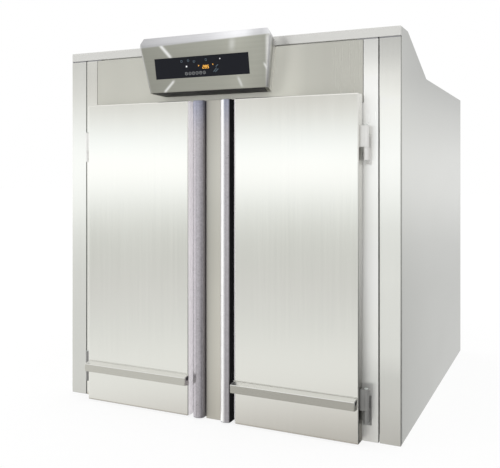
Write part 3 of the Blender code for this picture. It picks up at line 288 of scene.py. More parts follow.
WARM = (0.820, 0.815, 0.775)
# Painted shade on the door leaves' side faces, darker towards the floor; the fronts are also darker
# below 24 mm above the floor.
DOOR_STEEL = brushed_steel(
    "door_steel_finish", WARM, 0.17, side=((0.5, 0.9), WARM),
    bands=(("Z", ((0.0, (0.74, 0.71, 0.66)), (0.014, (0.82, 0.79, 0.75)), (0.024, 1.0),
                  (2.02, 1.0))),),
    side_bands=(("Z", ((0.0, (0.20, 0.18, 0.15)), (0.55, 0.42), (1.15, 0.70), (1.55, 0.92),
                       (2.02, 1.0))),))
# Painted shade: the side faces of the posts and of the right jamb are dark.
POST_PAINTED_SHADE_SIDE = ((0.6, 0.8), (0.24, 0.24, 0.22))
# Painted light and shade up the two posts: tones by height; the posts are copies of one steel with
# slightly different bases.
LEFT_POST_PAINTED_LIGHT = ("Z", ((0.0, 0.84), (0.30, 0.84), (0.95, 0.98), (1.30, 1.04), (2.0, 0.98),
                    (2.34, 0.86)))
RIGHT_POST_PAINTED_LIGHT = ("Z", ((0.0, 0.90), (0.20, 0.88), (0.38, 0.84), (0.52, 0.97), (0.95, 1.09),
                     (1.25, 1.02), (1.70, 1.04), (1.98, 1.16), (2.12, 1.04), (2.24, 0.82),
                     (2.34, 0.70)))
LEFT_POST_STEEL = brushed_steel("left_post_steel_finish", (0.840, 0.840, 0.805), 0.25,
                                streaks=0.02, side=POST_PAINTED_SHADE_SIDE, bands=(LEFT_POST_PAINTED_LIGHT,))
RIGHT_POST_STEEL = brushed_steel("right_post_steel_finish", (0.870, 0.870, 0.835), 0.25,
                                 streaks=0.02, side=POST_PAINTED_SHADE_SIDE, bands=(RIGHT_POST_PAINTED_LIGHT,))
# The right jamb is a lighter, less metallic copy of the door steel with the right post's tones:
# painted light against the shade beside the doors.
JAMB_STEEL = brushed_steel("jamb_steel_finish", (0.980, 0.980, 0.950), 0.25,
                           streaks=0.012, metallic=0.45, side=POST_PAINTED_SHADE_SIDE, bands=(RIGHT_POST_PAINTED_LIGHT,))
# Painted light: the header is made lighter beside the console's right end, against the shade the
# console casts there; it also darkens a little towards the top.
HEADER_STEEL = brushed_steel(
    "header_steel_finish", (0.620, 0.615, 0.555), 0.26, metallic=0.3, streaks=0.008,
    bands=(("X", ((-0.78, 1.0), (-0.56, 1.08), (-0.46, 1.10), (0.0, 1.15), (0.44, 1.36),
                  (0.51, 1.22), (0.60, 1.00), (0.72, 0.91), (1.10, 0.90))),
           ("Z", ((2.02, 1.04), (2.16, 1.0), (2.34, 0.95)))))
# Painted shade: the mullion cover is darker at its left edge beside the left handle and darker
# towards the top.
COVER_STEEL = brushed_steel(
    "cover_steel_finish", (0.650, 0.630, 0.570), 0.30,
    bands=(("X", ((-0.06, 0.84), (-0.02, 0.94), (0.03, 1.04), (0.06, 1.02))),
           ("Z", ((0.0, 1.0), (0.8, 1.02), (1.35, 0.86), (2.0, 0.80)))))
TRIM_STEEL = brushed_steel("trim_steel_finish", (0.720, 0.715, 0.690), 0.24, grain="x",
                           metallic=0.6)
# Painted light and shade on the side and rear panels: lighter low down, darker towards the top and
# towards the back.
SIDE_STEEL = brushed_steel(
    "side_steel_finish", (0.800, 0.810, 0.770), 0.18, anisotropy=0.1,
    bands=(("Z", ((0.0, 1.22), (0.35, 1.17), (0.80, 1.07), (1.20, 1.03), (1.55, 0.98),
                  (2.0, 0.86), (2.35, 0.70))),
           ("Y", ((-1.16, 1.0), (-0.40, 0.96), (0.30, 0.93), (1.165, 0.89)))))
# Painted highlight strokes on the console: start and end in X and Z, width, strength.
CONSOLE_PAINTED_GLINTS = (
    ((-0.328, 2.375), (-0.252, 2.286), 0.019, 1.00),
    ((-0.323, 2.076), (-0.246, 2.143), 0.015, 0.85),
    ((0.190, 2.372), (0.178, 2.310), 0.034, 0.40),
    ((0.207, 2.143), (0.229, 2.088), 0.015, 0.60),
    ((0.386, 2.215), (0.409, 2.173), 0.012, 0.75),
    ((0.424, 2.380), (0.402, 2.085), 0.024, 0.70),
)
# The console's steel with painted light and shade: a light top facet whose colour also comes down
# over the fold, tones across the face and top, pale ends with a dark band of painted shade across
# their middle, the left end darker, and the painted highlight strokes.
CONSOLE_STEEL = brushed_steel(
    "console_steel_finish", (0.430, 0.430, 0.380), 0.34, grain="x", streaks=0.10,
    top=(0.90, 0.90, 0.92), fold=(2.366, 2.378, 0.025), side=((0.10, 0.45), (0.88, 0.88, 0.87)),
    bands=(("X", ((-0.48, 0.82), (-0.30, 0.92), (-0.05, 1.0), (0.10, 1.06), (0.23, 1.20),
                  (0.36, 1.06), (0.44, 0.92))),),
    top_bands=(("X", ((-0.46, 0.56), (-0.29, 0.66), (-0.08, 0.72), (0.02, 0.80), (0.12, 0.96),
                      (0.21, 1.08), (0.27, 1.04), (0.33, 0.80), (0.38, 0.72), (0.44, 0.95))),),
    side_bands=(("Y", ((-1.345, 1.0), (-1.310, 0.82), (-1.280, 0.45), (-1.255, 0.50),
                       (-1.215, 0.95), (-1.165, 1.0))),
                ("X", ((-0.50, 0.50), (-0.30, 0.50), (0.0, 1.0), (0.50, 1.0)))),
    painted_glints=CONSOLE_PAINTED_GLINTS)
# Painted light: the rails' top faces are lighter, and the left rail is a lighter copy of the right
# one.
RAIL_PAINTED_TOP_LIGHT = (0.76, 0.76, 0.73)
LEFT_RAIL_STEEL = brushed_steel("left_rail_steel_finish", (0.660, 0.650, 0.600), 0.26,
                                grain="x", top=RAIL_PAINTED_TOP_LIGHT)
RIGHT_RAIL_STEEL = brushed_steel("right_rail_steel_finish", (0.520, 0.510, 0.465), 0.26,
                                 grain="x", top=RAIL_PAINTED_TOP_LIGHT)
INNER_STEEL = brushed_steel("inner_steel_finish", (0.700, 0.700, 0.680), 0.34)
ROOF_STEEL = brushed_steel("roof_steel_finish", (0.740, 0.740, 0.715), 0.36, grain="x")
HANDLE_TONES = ("Z", ((0.0, 1.0), (1.80, 1.0), (2.02, (0.66, 0.72, 0.86))))
# The handles are two copies of one cast metal with painted light and shade: the left is darker, the
# +X faces of both are darkened, the right one's strongly, and the right one's -X faces are painted
# white.
LEFT_HANDLE_METAL = cast_metal(
    "left_handle_metal_finish", (0.51, 0.485, 0.515), 0.30, grain_scale=85.0, spread=0.32,
    metallic=0.7, nose=(0.10, 0.85, 0.72), bands=(HANDLE_TONES,))
RIGHT_HANDLE_METAL = cast_metal(
    "right_handle_metal_finish", (0.60, 0.575, 0.605), 0.30, grain_scale=85.0, spread=0.20,
    metallic=0.6, nose=(0.10, 0.75, 0.30), pale=(0.0, -0.10, (1.0, 1.0, 1.0)),
    bands=(HANDLE_TONES,))
# Painted shade: the hinge metal darkens towards the floor, so the lower hinges are much darker than
# the upper ones.
HINGE_METAL = cast_metal("hinge_metal_finish", (0.86, 0.855, 0.83), 0.38, metallic=0.35,
                         bands=(("Z", ((0.15, 0.30), (0.50, 0.38), (1.50, 0.95), (2.0, 1.0))),))
PIN_METAL = brushed_steel("pin_metal_finish", (0.80, 0.80, 0.78), 0.22)
WIRE_METAL = cast_metal("wire_metal_finish", (0.78, 0.78, 0.77), 0.22, bump=0.05, spread=0.05)
MOTOR_METAL = cast_metal("motor_metal_finish", (0.50, 0.50, 0.50), 0.42)
BRASS_METAL = cast_metal("brass_metal_finish", (0.78, 0.57, 0.27), 0.30, bump=0.08)
BLACK_GLASS = moulded("black_glass_finish", (0.012, 0.013, 0.018), 0.12, bump=0.01,
                      spread=0.05, specular=0.12)
BLACK_PLASTIC = moulded("black_plastic_finish", (0.025, 0.025, 0.027), 0.48)
GREY_PLASTIC = moulded("grey_plastic_finish", (0.42, 0.42, 0.42), 0.50)
GREY_RUBBER = moulded("grey_rubber_finish", (0.16, 0.16, 0.165), 0.70, bump=0.2)
BOARD_GREEN = moulded("circuit_board_finish", (0.02, 0.13, 0.06), 0.45)
# The pale channel in the finger recess glows faintly, though it is no lamp: painted light.
GLOWING_PALE_PLASTIC = moulded("pale_plastic_glow_finish", (0.95, 0.93, 0.945), 0.42, bump=0.04, spread=0.03,
                       emission=(1.0, 0.97, 0.99), strength=0.22)
# A matt black that stands in for the shade in the finger recesses.
RECESS_SHADE_BLACK = moulded("recess_shade_black_finish", (0.010, 0.010, 0.011), 0.90, specular=0.03, bump=0.2)
BLACK_RUBBER = moulded("black_rubber_finish", (0.030, 0.032, 0.030), 0.75, bump=0.2)
CAP_GREY = moulded("cap_grey_finish", (0.30, 0.30, 0.32), 0.50)
FROSTED_CAP = moulded("frosted_cap_finish", (0.62, 0.66, 0.63), 0.35)
PRINT_GREY = moulded("print_grey_finish", (0.36, 0.37, 0.38), 0.5, bump=0.02)
PRINT_BLUE = moulded("print_blue_finish", (0.14, 0.20, 0.25), 0.5, bump=0.02)
AMBER_LIGHT = moulded("amber_light_finish", (0.80, 0.42, 0.06), 0.4,
                      emission=(1.0, 0.46, 0.06), strength=0.75)
WHITE_LIGHT = moulded("white_light_finish", (0.80, 0.80, 0.80), 0.4,
                      emission=(0.9, 0.92, 0.95), strength=0.5)
LAMP_LENS = moulded("lamp_lens_finish", (0.86, 0.85, 0.80), 0.35, bump=0.3, texture=260.0)

# The finish of each solid, by the longest start of its name that is listed here.
FINISH = {
    "door_leaf": DOOR_STEEL, "inner_jamb": DOOR_STEEL, "inner_jamb_right": JAMB_STEEL,
    "outer_post_left": LEFT_POST_STEEL, "outer_post_right": RIGHT_POST_STEEL,
    "centre_mullion": COVER_STEEL, "mullion_cover": COVER_STEEL, "header_panel": HEADER_STEEL,
    "top_trim": TRIM_STEEL, "side_panel": SIDE_STEEL, "rear_panel": SIDE_STEEL,
    "console_housing": CONSOLE_STEEL, "console_base": BLACK_PLASTIC, "kick_rail": RIGHT_RAIL_STEEL,
    "frame_": INNER_STEEL, "floor_pan": INNER_STEEL, "rear_duct": INNER_STEEL,
    "steam_": INNER_STEEL, "roof_panel": ROOF_STEEL, "hood_cover": ROOF_STEEL,
    "door_handle": LEFT_HANDLE_METAL, "hinge_pin": PIN_METAL, "hinge_": HINGE_METAL,
    "fan_guard": WIRE_METAL, "fan_rotor": BLACK_PLASTIC, "fan_motor": MOTOR_METAL,
    "heater_element": MOTOR_METAL, "water_inlet": BRASS_METAL, "cable_gland": BLACK_PLASTIC,
    "lamp_housing": BLACK_PLASTIC, "lamp_lens": LAMP_LENS, "display_panel": BLACK_GLASS,
    "control_board": BOARD_GREEN, "door_gasket": GREY_RUBBER, "rack_bumper": GREY_PLASTIC,
    "electrical_box": GREY_PLASTIC, "climate_probe": GREY_PLASTIC,
}


def finish_of(node):
    matches = [start for start in FINISH if node.startswith(start)]
    return FINISH[max(matches, key=len)]


for node, obj in nodes.items():
    for material_slot in obj.material_slots:
        material_slot.material = finish_of(node)


def smooth_node(obj):
    """Join the facets of a carried-over solid and shade its rounded folds smoothly."""
    obj.data.polygons.foreach_set("use_smooth", [True] * len(obj.data.polygons))
    join = obj.modifiers.new("join", "WELD")
    join.merge_threshold = 0.00002
    split = obj.modifiers.new("split", "EDGE_SPLIT")
    split.split_angle = math.radians(38)
    normals = obj.modifiers.new("normals", "WEIGHTED_NORMAL")
    normals.keep_sharp = False


# Mesh helpers.
def arc(centre, radius, start, end, steps):
    """Points on an arc, angles in degrees."""
    points = []
    for step in range(steps + 1):
        angle = math.radians(start + (end - start) * step / steps)
        points.append((centre[0] + radius * math.cos(angle), centre[1] + radius * math.sin(angle)))
    return points


def prism(form, outline, low, high, place):
    """A closed prism over a 2D outline; place(u, v, w) gives the point in space."""
    bottom = [form.verts.new(place(u, v, low)) for u, v in outline]
    top = [form.verts.new(place(u, v, high)) for u, v in outline]
    form.faces.new(bottom)
    form.faces.new(top)
    for index in range(len(outline)):
        after = (index + 1) % len(outline)
        form.faces.new((bottom[index], bottom[after], top[after], top[index]))


def upright(side):
    """For prism: an outline in X and Y, mirrored to a side, that runs up along Z."""
    return lambda u, v, w: (side * u, v, w)


def sideways(u, v, w):
    """For prism: an outline in Y and Z that runs along X."""
    return w, u, v


def shrunk(outline, middle, scale):
    """An outline drawn in towards its middle."""
    return [(middle.x + (u - middle.x) * scale, middle.y + (v - middle.y) * scale)
            for u, v in outline]


def end_pieces(low, high, length):
    """Start and end of a short piece at each end of a bar."""
    return (low, low + length), (high - length, high)


def turned(form, profile, matrix, steps=20):
    """A closed turned shape: profile is (radius, height) pairs from one pole to the other."""
    rings = []
    for radius, height in profile:
        if radius == 0:
            rings.append([form.verts.new(matrix @ Vector((0, 0, height)))])
            continue
        ring = []
        for step in range(steps):
            angle = 2 * math.pi * step / steps
            ring.append(form.verts.new(
                matrix @ Vector((radius * math.cos(angle), radius * math.sin(angle), height))))
        rings.append(ring)
    for lower, upper in zip(rings, rings[1:]):
        for step in range(steps):
            after = (step + 1) % steps
            corners = [lower[step % len(lower)], lower[after % len(lower)],
                       upper[after % len(upper)], upper[step % len(upper)]]
            unique = list(dict.fromkeys(corners))
            form.faces.new(unique)


def piece(name, form, material, body, angle=35.0, bevel=0.0):
    """Finish a mesh as a piece that rides on a body."""
    bmesh.ops.recalc_face_normals(form, faces=form.faces)
    mesh = bpy.data.meshes.new(name)
    form.to_mesh(mesh)
    form.free()
    mesh.shade_smooth()
    mesh.set_sharp_from_angle(angle=math.radians(angle))
    mesh.materials.append(material)
    obj = bpy.data.objects.new(name, mesh)
    scene.collection.objects.link(obj)
    if bevel:
        modifier = obj.modifiers.new("edges", "BEVEL")
        modifier.width = bevel
        modifier.segments = 2
        modifier.limit_method = "ANGLE"
        modifier.angle_limit = math.radians(40)
        modifier.harden_normals = True
    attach(obj, body)
    return obj


def facing(centre, normal):
    """A frame at a centre whose Z axis is the given level normal."""
    normal = Vector(normal).normalized()
    across = Vector((0.0, 0.0, 1.0)).cross(normal).normalized()
    above = normal.cross(across)
    frame_matrix = Matrix((across, above, normal)).transposed().to_4x4()
    frame_matrix.translation = Vector(centre)
    return frame_matrix


# Sizes shared with the solids.
SIDES = (("left", -1), ("right", 1))
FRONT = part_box("outer_post_left")[0].y
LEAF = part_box("door_leaf_right")
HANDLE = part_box("door_handle_right")
DOOR_LOW, DOOR_HIGH = LEAF[0].z, LEAF[1].z
FLANGE = HANDLE[1].y
RECESS_WIDTH = 0.035
RECESS_EDGE = HANDLE[1].x + RECESS_WIDTH
# The gap that keeps an added piece clear of its neighbours.
AIR = 0.0004

# Smooth shading across the rounded folds of the carried-over solids.
for node in ("console_housing", "steam_pipe", "heater_element", "water_inlet", "cable_gland",
             "mullion_cover"):
    smooth_node(nodes[node])
for word, _ in SIDES:
    for start in ("door_leaf_", "fan_rotor_", "fan_motor_"):
        smooth_node(nodes[start + word])
for word in ("upper_left", "upper_right", "lower_left", "lower_right"):
    for start in ("hinge_frame_", "hinge_door_", "hinge_pin_"):
        smooth_node(nodes[start + word])


# Door details.
# The thickness of the recess's black shade sheet and pale channel, and how far they stop short of
# the leaf's ends.
RECESS_SHEET = 0.0012
RECESS_SHEET_END_GAP = 0.002
# End caps: their length, and how much smaller they are than the bar's own outline.
HANDLE_CAP, HANDLE_CAP_SCALE = 0.004, 0.975
RAIL_CAP, RAIL_CAP_SCALE = 0.0032, 0.97
HINGE_SCREW_RADIUS, PANEL_SCREW_RADIUS = 0.0046, 0.0055


def build_recess(word, side):
    """A matt black sheet on the handle's side of the finger recess that stands in for its shade,
    and a pale channel on its floor and far wall that glows faintly as painted light."""
    inner = HANDLE[1].x + AIR
    outer = RECESS_EDGE - AIR
    floor_face = FLANGE - AIR
    lip = floor_face - 0.012 if side < 0 else HANDLE[0].y + 0.011
    shade_sheet = [(inner, lip), (inner + RECESS_SHEET, lip), (inner + RECESS_SHEET, floor_face),
             (inner, floor_face)]
    near = inner + RECESS_SHEET + AIR
    channel = [(outer, LEAF[0].y + 0.004), (outer, floor_face), (near, floor_face),
               (near, floor_face - RECESS_SHEET), (outer - RECESS_SHEET, floor_face - RECESS_SHEET),
               (outer - RECESS_SHEET, LEAF[0].y + 0.005)]
    # The black sheet is painted shade in the recess; the pale channel glows as painted light.
    for start, outline, material, slot in (
            ("recess_shade_sheet_", shade_sheet, RECESS_SHADE_BLACK, "black_plastic"),
            ("recess_strip_", channel, GLOWING_PALE_PLASTIC, "grey_plastic")):
        form = bmesh.new()
        prism(form, outline, DOOR_LOW + RECESS_SHEET_END_GAP, DOOR_HIGH - RECESS_SHEET_END_GAP, upright(side))
        piece(start + word, form, material, word + "_door", bevel=0.0003)


def build_handle(word, side):
    """The handle extrusion: a broad rounded nose, a shallow groove, a rounded heel, end caps."""
    low, high = HANDLE
    crown, back = low.y, high.y
    edge, heel = low.x, high.x
    nose_width, nose_depth, nose_steps = 0.036, 0.028, 14
    outline = [(heel, back), (edge, back)]
    for step in range(nose_steps + 1):
        angle = math.radians(180 + 88 * step / nose_steps)
        outline.append((edge + nose_width + nose_width * math.cos(angle),
                        crown + nose_depth + nose_depth * math.sin(angle)))
    groove = edge + nose_width + 0.006
    outline += [(groove, crown + 0.0001), (groove + 0.0005, crown + 0.0011),
                (groove + 0.0015, crown + 0.0012), (groove + 0.0020, crown + 0.0004)]
    heel_radius = 0.010
    outline += arc((heel - heel_radius, crown + 0.016), heel_radius, 280, 360, 8)
    form = bmesh.new()
    prism(form, outline, low.z + HANDLE_CAP, high.z - HANDLE_CAP, upright(side))
    metal = LEFT_HANDLE_METAL if side < 0 else RIGHT_HANDLE_METAL
    bar = piece("handle_bar_" + word, form, metal, word + "_door",
                angle=25.0)
    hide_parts("door_handle_" + word)

    middle = Vector(((edge + heel) / 2, (crown + back) / 2))
    caps = bmesh.new()
    for start, end in end_pieces(low.z, high.z, HANDLE_CAP):
        prism(caps, shrunk(outline, middle, HANDLE_CAP_SCALE), start, end, upright(side))
    piece("handle_caps_" + word, caps, CAP_GREY, word + "_door", angle=25.0)


def build_rail(word, side):
    """A kick rail folded from sheet: foot, front, sloping top and a thin upper flange, with end
    caps and a black plug in each of them."""
    low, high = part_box("kick_rail_" + word)
    back, front = high.y, low.y
    flange = back - 0.0034
    outline = [(back, low.z), (front + 0.008, low.z + 0.0055), (front, low.z + 0.0085),
               (front, high.z - 0.0170), (front + 0.0016, high.z - 0.0140),
               (flange - 0.0012, high.z - 0.0058), (flange, high.z - 0.0050),
               (flange, high.z - 0.0008), (flange + 0.0010, high.z), (back, high.z)]
    steel = LEFT_RAIL_STEEL if side < 0 else RIGHT_RAIL_STEEL
    form = bmesh.new()
    prism(form, outline, low.x + RAIL_CAP, high.x - RAIL_CAP, sideways)
    bar = piece("rail_bar_" + word, form, steel, word + "_door", angle=25.0)
    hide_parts("kick_rail_" + word)

    middle = Vector(((back + front) / 2, (low.z + high.z) / 2))
    caps = bmesh.new()
    for start, end in end_pieces(low.x, high.x, RAIL_CAP):
        prism(caps, shrunk(outline, middle, RAIL_CAP_SCALE), start, end, sideways)
    piece("rail_caps_" + word, caps, steel, word + "_door", bevel=0.0012)

    plugs = bmesh.new()
    plug = [(0, -0.0005), (0.0135, -0.0005), (0.0135, 0.0010), (0.0118, 0.0016),
            (0.0104, 0.0005), (0, 0.0002)]
    for end, sign in ((low.x, -1), (high.x, 1)):
        centre = (end, front + 0.029, high.z - 0.0240)
        turned(plugs, plug, facing(centre, (sign, 0, 0)) @ Matrix.Diagonal((1.15, 1, 1, 1)))
    piece("rail_plugs_" + word, plugs, BLACK_PLASTIC, word + "_door")


def build_hinge_details(word):
    """Screws in the hinge plates and a domed cap on each knuckle."""
    screws = bmesh.new()
    caps = bmesh.new()
    for level in ("upper", "lower"):
        low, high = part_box(f"hinge_frame_{level}_{word}")
        middle = (low.x + high.x) / 2
        for height in (low.z + 0.010, high.z - 0.010):
            countersunk(screws, (middle, high.y - 0.005, height), (0, -1, 0),
                        HINGE_SCREW_RADIUS)
        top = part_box(f"hinge_door_{level}_{word}")[1].z
        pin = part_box(f"hinge_pin_{level}_{word}")
        axis = ((pin[0].x + pin[1].x) / 2, (pin[0].y + pin[1].y) / 2, top)
        turned(caps, [(0, 0.0003), (0.0125, 0.0003), (0.0125, 0.0016), (0.0112, 0.0034),
                      (0.0070, 0.0048), (0, 0.0052)], Matrix.Translation(axis), 24)
    piece("hinge_screws_" + word, screws, PIN_METAL, "cabinet")
    piece("hinge_caps_" + word, caps, FROSTED_CAP, word + "_door")


def countersunk(form, centre, normal, radius):
    """A countersunk screw head with a dished cross recess."""
    turned(form, [(0, -0.0006), (radius, -0.0006), (radius, 0.0002), (radius * 0.86, 0.0006),
                  (radius * 0.45, 0.0005), (radius * 0.22, -0.0002), (0, -0.0003)],
           facing(centre, normal), 16)


# Console details.
NOSE_DEPTH, FOOT_DEPTH, FACE_RISE = 0.181, 0.124, 0.296
CONSOLE_LEAN = math.atan2(NOSE_DEPTH - FOOT_DEPTH, FACE_RISE)
console_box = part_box("console_housing")
display_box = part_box("display_panel")
# The face's own frame: X across from its middle, Y up from its top fold, Z out of it.
FACE_ORIGIN = (display_box[0].x + 0.356, console_box[0].y, console_box[1].z - 0.052)
FACE = Matrix.Translation(FACE_ORIGIN) @ Matrix.Rotation(math.pi / 2 + CONSOLE_LEAN, 4, "X")
GLASS_TOP = 0.0004
PRINT_TOP = GLASS_TOP + 0.0003


def on_face(u, v, w):
    return FACE @ Vector((u, v, w))


def face_bar(form, start, end, width):
    """A thin bar with pointed ends on the console's face."""
    start, end = Vector(start), Vector(end)
    along = (end - start).normalized() * (width / 2)
    across = Vector((-along.y, along.x))
    outline = [start, start + along + across, end - along + across, end, end - along - across,
               start + along - across]
    prism(form, [(point.x, point.y) for point in outline], GLASS_TOP, PRINT_TOP, on_face)


# Each bar of a seven-bar digit, from one corner to another, across and up.
SEGMENTS = {
    "a": ((0, 1), (1, 1)), "b": ((1, 1), (1, 0.5)), "c": ((1, 0.5), (1, 0)), "d": ((0, 0), (1, 0)),
    "e": ((0, 0.5), (0, 0)), "f": ((0, 1), (0, 0.5)), "g": ((0, 0.5), (1, 0.5)),
}
DIGITS = {"2": "abged", "8": "abcdefg", "5": "afgcd"}


def build_digits():
    """Three lit digits with a point after the second."""
    form = bmesh.new()
    width, height, pitch, slant = 0.0105, 0.0180, 0.0160, 0.10
    left, bottom = -0.0110, -0.1640
    for index, digit in enumerate("285"):
        for segment in DIGITS[digit]:
            ends = []
            for across, up in SEGMENTS[segment]:
                ends.append((left + index * pitch + across * width + up * height * slant,
                             bottom + up * height))
            face_bar(form, ends[0], ends[1], 0.0030)
    dot = (left + pitch + width + 0.0026, bottom)
    face_bar(form, (dot[0] - 0.0012, dot[1]), (dot[0] + 0.0012, dot[1]), 0.0024)
    piece("display_digits", form, AMBER_LIGHT, "cabinet")


def ring_on_face(form, centre, size, width):
    """A square outline with cut corners, for a soft key."""
    half = size / 2
    cut = size * 0.22
    corners = [(-half + cut, -half), (half - cut, -half), (half, -half + cut), (half, half - cut),
               (half - cut, half), (-half + cut, half), (-half, half - cut), (-half, -half + cut)]
    for index, corner in enumerate(corners):
        after = corners[(index + 1) % len(corners)]
        face_bar(form, (centre[0] + corner[0], centre[1] + corner[1]),
                 (centre[0] + after[0], centre[1] + after[1]), width)


def dot_on_face(form, centre, radius):
    """A flat-domed lamp on the display."""
    turned(form, [(0, GLASS_TOP), (radius, GLASS_TOP), (radius * 0.8, GLASS_TOP + 0.0004),
                  (0, GLASS_TOP + 0.0005)], FACE @ Matrix.Translation((*centre, 0)), 14)


def build_marks():
    """A row of soft keys, a row of icons and the small lamps."""
    keys = bmesh.new()
    first_key, key_pitch, key_row = -0.130, 0.0255, -0.190
    for index in range(6):
        centre = (first_key + index * key_pitch, key_row)
        ring_on_face(keys, centre, 0.0165, 0.0026)
        face_bar(keys, (centre[0] - 0.0035, centre[1] - 0.0030 + 0.0012 * (index % 3)),
                 (centre[0] + 0.0035, centre[1] + 0.0030 - 0.0012 * (index % 2)), 0.0024)
    piece("display_keys", keys, PRINT_GREY, "cabinet")

    marks = bmesh.new()
    for centre in ((-0.158, -0.112), (-0.110, -0.110), (-0.068, -0.118), (0.016, -0.112)):
        ring_on_face(marks, centre, 0.0120, 0.0022)
    for start, end in (((0.062, -0.190), (0.086, -0.166)), ((0.080, -0.160), (0.098, -0.146)),
                       ((0.074, -0.192), (0.098, -0.172))):
        face_bar(marks, start, end, 0.0030)
    piece("display_icons", marks, PRINT_BLUE, "cabinet")

    white_dots = bmesh.new()
    dot_on_face(white_dots, (-0.125, -0.146), 0.0052)
    dot_on_face(white_dots, (0.114, -0.112), 0.0034)
    piece("display_white_lamps", white_dots, WHITE_LIGHT, "cabinet")
    amber_dots = bmesh.new()
    for centre in ((-0.038, -0.146), (0.062, -0.143)):
        dot_on_face(amber_dots, centre, 0.0034)
    piece("display_amber_lamps", amber_dots, AMBER_LIGHT, "cabinet")


# Body details.
def build_side_seals():
    """Dark rubber seals in the joints between the facade and the side panels."""
    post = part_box("outer_post_right")
    side_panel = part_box("side_panel_right")
    front, back = post[1].y + AIR, side_panel[0].y - AIR
    face = post[1].x - 0.0025
    inner = side_panel[0].x + 0.004
    middle = (front + back) / 2
    outline = [(inner, front), (face, front), (face - 0.0015, middle), (face, back), (inner, back)]
    for word, side in SIDES:
        form = bmesh.new()
        prism(form, outline, 0.001, side_panel[1].z - 0.001, upright(side))
        piece("side_seal_" + word, form, BLACK_RUBBER, "cabinet", bevel=0.0004)


def build_trim_seals():
    """Grey seals in the joint between the top trim and the posts."""
    trim_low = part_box("top_trim")[0].z - AIR
    near, far = FRONT + 0.0025, FRONT + 0.0120
    for word, _ in SIDES:
        form = bmesh.new()
        for node in ("outer_post_", "inner_jamb_"):
            low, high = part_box(node + word)
            foot = high.z + AIR
            outline = [(near, foot), (FRONT + 0.0016, (high.z + trim_low) / 2), (near, trim_low),
                       (far, trim_low), (far, foot)]
            prism(form, outline, low.x + 0.003, high.x - 0.003, sideways)
        piece("trim_seal_" + word, form, CAP_GREY, "cabinet", bevel=0.0003)


def build_rear_screws():
    """Countersunk screws round the edge of the rear panel."""
    low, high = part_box("rear_panel")
    form = bmesh.new()
    inset = 0.028
    columns, rows = 7, 8
    for index in range(columns):
        x = low.x + inset + (high.x - low.x - 2 * inset) * index / (columns - 1)
        for z in (low.z + inset, high.z - inset):
            countersunk(form, (x, high.y, z), (0, 1, 0), PANEL_SCREW_RADIUS)
    for index in range(1, rows - 1):
        z = low.z + inset + (high.z - low.z - 2 * inset) * index / (rows - 1)
        for x in (low.x + inset, high.x - inset):
            countersunk(form, (x, high.y, z), (0, 1, 0), PANEL_SCREW_RADIUS)
    piece("rear_screws", form, PIN_METAL, "cabinet")


for side_word, side_sign in SIDES:
    build_recess(side_word, side_sign)
    build_handle(side_word, side_sign)
    build_rail(side_word, side_sign)
    build_hinge_details(side_word)
build_digits()
build_marks()
build_side_seals()
build_trim_seals()
build_rear_screws()


# Stage, light and camera.
FLOOR_REACH = 40.0
floor_mesh = bpy.data.meshes.new("floor")
floor_form = bmesh.new()
bmesh.ops.create_grid(floor_form, x_segments=4, y_segments=4, size=FLOOR_REACH)
floor_form.to_mesh(floor_mesh)
floor_form.free()
floor = bpy.data.objects.new("floor", floor_mesh)
scene.collection.objects.link(floor)

# The floor glows white for the camera, is matt for diffuse rays and absent from reflections.
floor_material, tree = new_material("floor_finish")
path = tree.add("ShaderNodeLightPath")
matt = tree.add("ShaderNodeBsdfDiffuse", {"Color": colour((0.86, 0.86, 0.86))})
glow = tree.add("ShaderNodeEmission", {"Color": colour(1.0), "Strength": 1.05})
clear = tree.add("ShaderNodeBsdfTransparent")
seen = tree.add("ShaderNodeMixShader", {0: 0.80, 1: matt.outputs[0], 2: glow.outputs[0]})
other = tree.add("ShaderNodeMixShader", {0: path.outputs["Is Glossy Ray"], 1: matt.outputs[0],
                                         2: clear.outputs[0]})
shown = tree.add("ShaderNodeMixShader", {0: path.outputs["Is Camera Ray"], 1: other.outputs[0],
                                         2: seen.outputs[0]})
tree.add("ShaderNodeOutputMaterial", {"Surface": shown.outputs[0]})
floor_mesh.materials.append(floor_material)

world = bpy.data.worlds.new("studio")
world.use_nodes = True
scene.world = world
tree = Tree(world.node_tree)
ray = tree.add("ShaderNodeTexCoord").outputs["Generated"]
parts = tree.add("ShaderNodeSeparateXYZ", {0: ray}).outputs
height = tree.math("MULTIPLY_ADD", parts["Z"], 0.5, 0.5)
# Tones of the studio by how high a ray points: -1 is straight down, 1 is straight up.
FRONT_BAND = [
    (-1.00, 0.70), (-0.60, 0.55), (-0.395, (0.42, 0.40, 0.37)), (-0.368, (0.50, 0.48, 0.45)),
    (-0.350, (0.65, 0.63, 0.60)),
    (-0.325, (0.80, 0.78, 0.76)), (-0.298, (0.95, 0.96, 0.94)), (-0.262, (0.95, 0.96, 0.94)),
    (-0.217, (0.825, 0.84, 0.825)), (-0.170, (0.765, 0.765, 0.755)),
    (-0.125, (0.715, 0.725, 0.705)), (-0.098, (0.715, 0.73, 0.705)),
    (-0.070, (0.84, 0.86, 0.84)), (-0.046, (0.98, 1.01, 1.00)), (-0.022, (1.20, 1.23, 1.24)),
    (0.010, 1.34), (0.036, (1.20, 1.26, 1.30)), (0.060, (1.04, 1.07, 1.07)),
    (0.081, (0.88, 0.89, 0.87)), (0.105, (0.75, 0.73, 0.70)), (0.135, (0.65, 0.65, 0.63)),
    (0.175, (0.80, 0.80, 0.79)), (0.26, 0.95), (0.50, 1.15), (1.00, 0.95),
]
SIDE_BAND = [
    (-1.00, 0.64), (-0.35, 0.66), (-0.16, 0.67), (-0.10, 0.72), (-0.03, 0.90), (0.02, 0.92),
    (0.07, 0.80), (0.13, 0.64), (0.30, 0.75), (0.55, 1.0), (1.00, 0.95),
]
LOW_CARD = [
    (-1.00, 0.10), (-0.36, 0.11), (-0.25, 0.26), (-0.11, 0.50), (0.00, 0.78), (0.10, 0.90),
    (1.00, 0.90),
]
SOFTBOX_TONE = 1.30
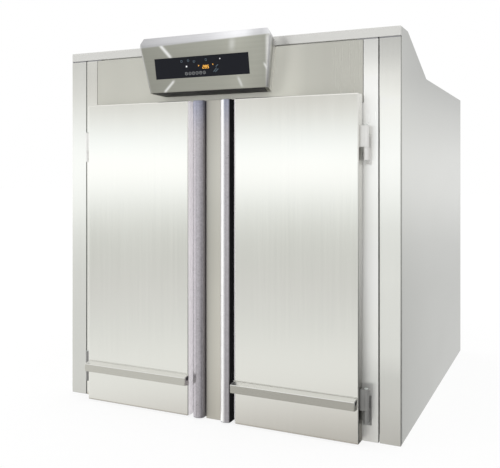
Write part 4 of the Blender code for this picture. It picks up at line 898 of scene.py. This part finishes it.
DARK_CARD_FRONT, DARK_CARD_BACK = 0.92, (0.46, 0.45, 0.44)


def band(stops):
    """Stops by height as stops of a ramp from 0 to 1."""
    return [(0.5 + 0.5 * level, value) for level, value in stops]


front_light = tree.ramp(height, band(FRONT_BAND))
side_light = tree.ramp(height, band(SIDE_BAND))
aside = tree.math("MULTIPLY_ADD", parts["X"], 0.4, parts["Y"])
studio = tree.mix(fade(tree, aside, 0.1, 0.7), front_light, side_light)
studio = tree.mix(fade(tree, parts["X"], -0.72, -0.84), studio, SOFTBOX_TONE)
# Two cards stand at the right, near eye level: one that is dark towards the floor, then a grey one.
turn = tree.math("MULTIPLY_ADD", parts["Y"], -0.08, parts["X"])
level = tree.math("ABSOLUTE", parts["Z"])
near_level = fade(tree, level, 0.55, 0.40)
low_card = tree.ramp(height, band(LOW_CARD))
low_reach = tree.math("MULTIPLY", fade(tree, turn, 0.12, 0.20), near_level)
studio = tree.mix(low_reach, studio, low_card)
behind = fade(tree, parts["Y"], -0.35, 0.25)
dark_card = tree.mix(behind, DARK_CARD_FRONT, DARK_CARD_BACK)
card_reach = tree.math("MULTIPLY", fade(tree, turn, 0.26, 0.38), fade(tree, turn, 0.64, 0.46))
studio = tree.mix(tree.math("MULTIPLY", card_reach, near_level), studio, dark_card)
studio_light = tree.add("ShaderNodeBackground", {"Color": studio, "Strength": 1.0})
white = tree.add("ShaderNodeBackground", {"Color": colour(1.0), "Strength": 1.0})
path = tree.add("ShaderNodeLightPath")
both = tree.add("ShaderNodeMixShader", {
    0: path.outputs["Is Camera Ray"], 1: studio_light.outputs[0], 2: white.outputs[0]})
tree.add("ShaderNodeOutputWorld", {"Surface": both.outputs[0]})

camera_data = bpy.data.cameras.new("camera")
camera_data.sensor_width = 36.0
camera_data.lens = 49.86
camera_data.shift_y = -0.1273
camera = bpy.data.objects.new("camera", camera_data)
camera.location = (2.051, -5.100, 1.574)
camera.rotation_euler = (math.radians(90), 0, math.radians(24.91))
scene.collection.objects.link(camera)
scene.camera = camera
scene.view_settings.view_transform = "Standard"
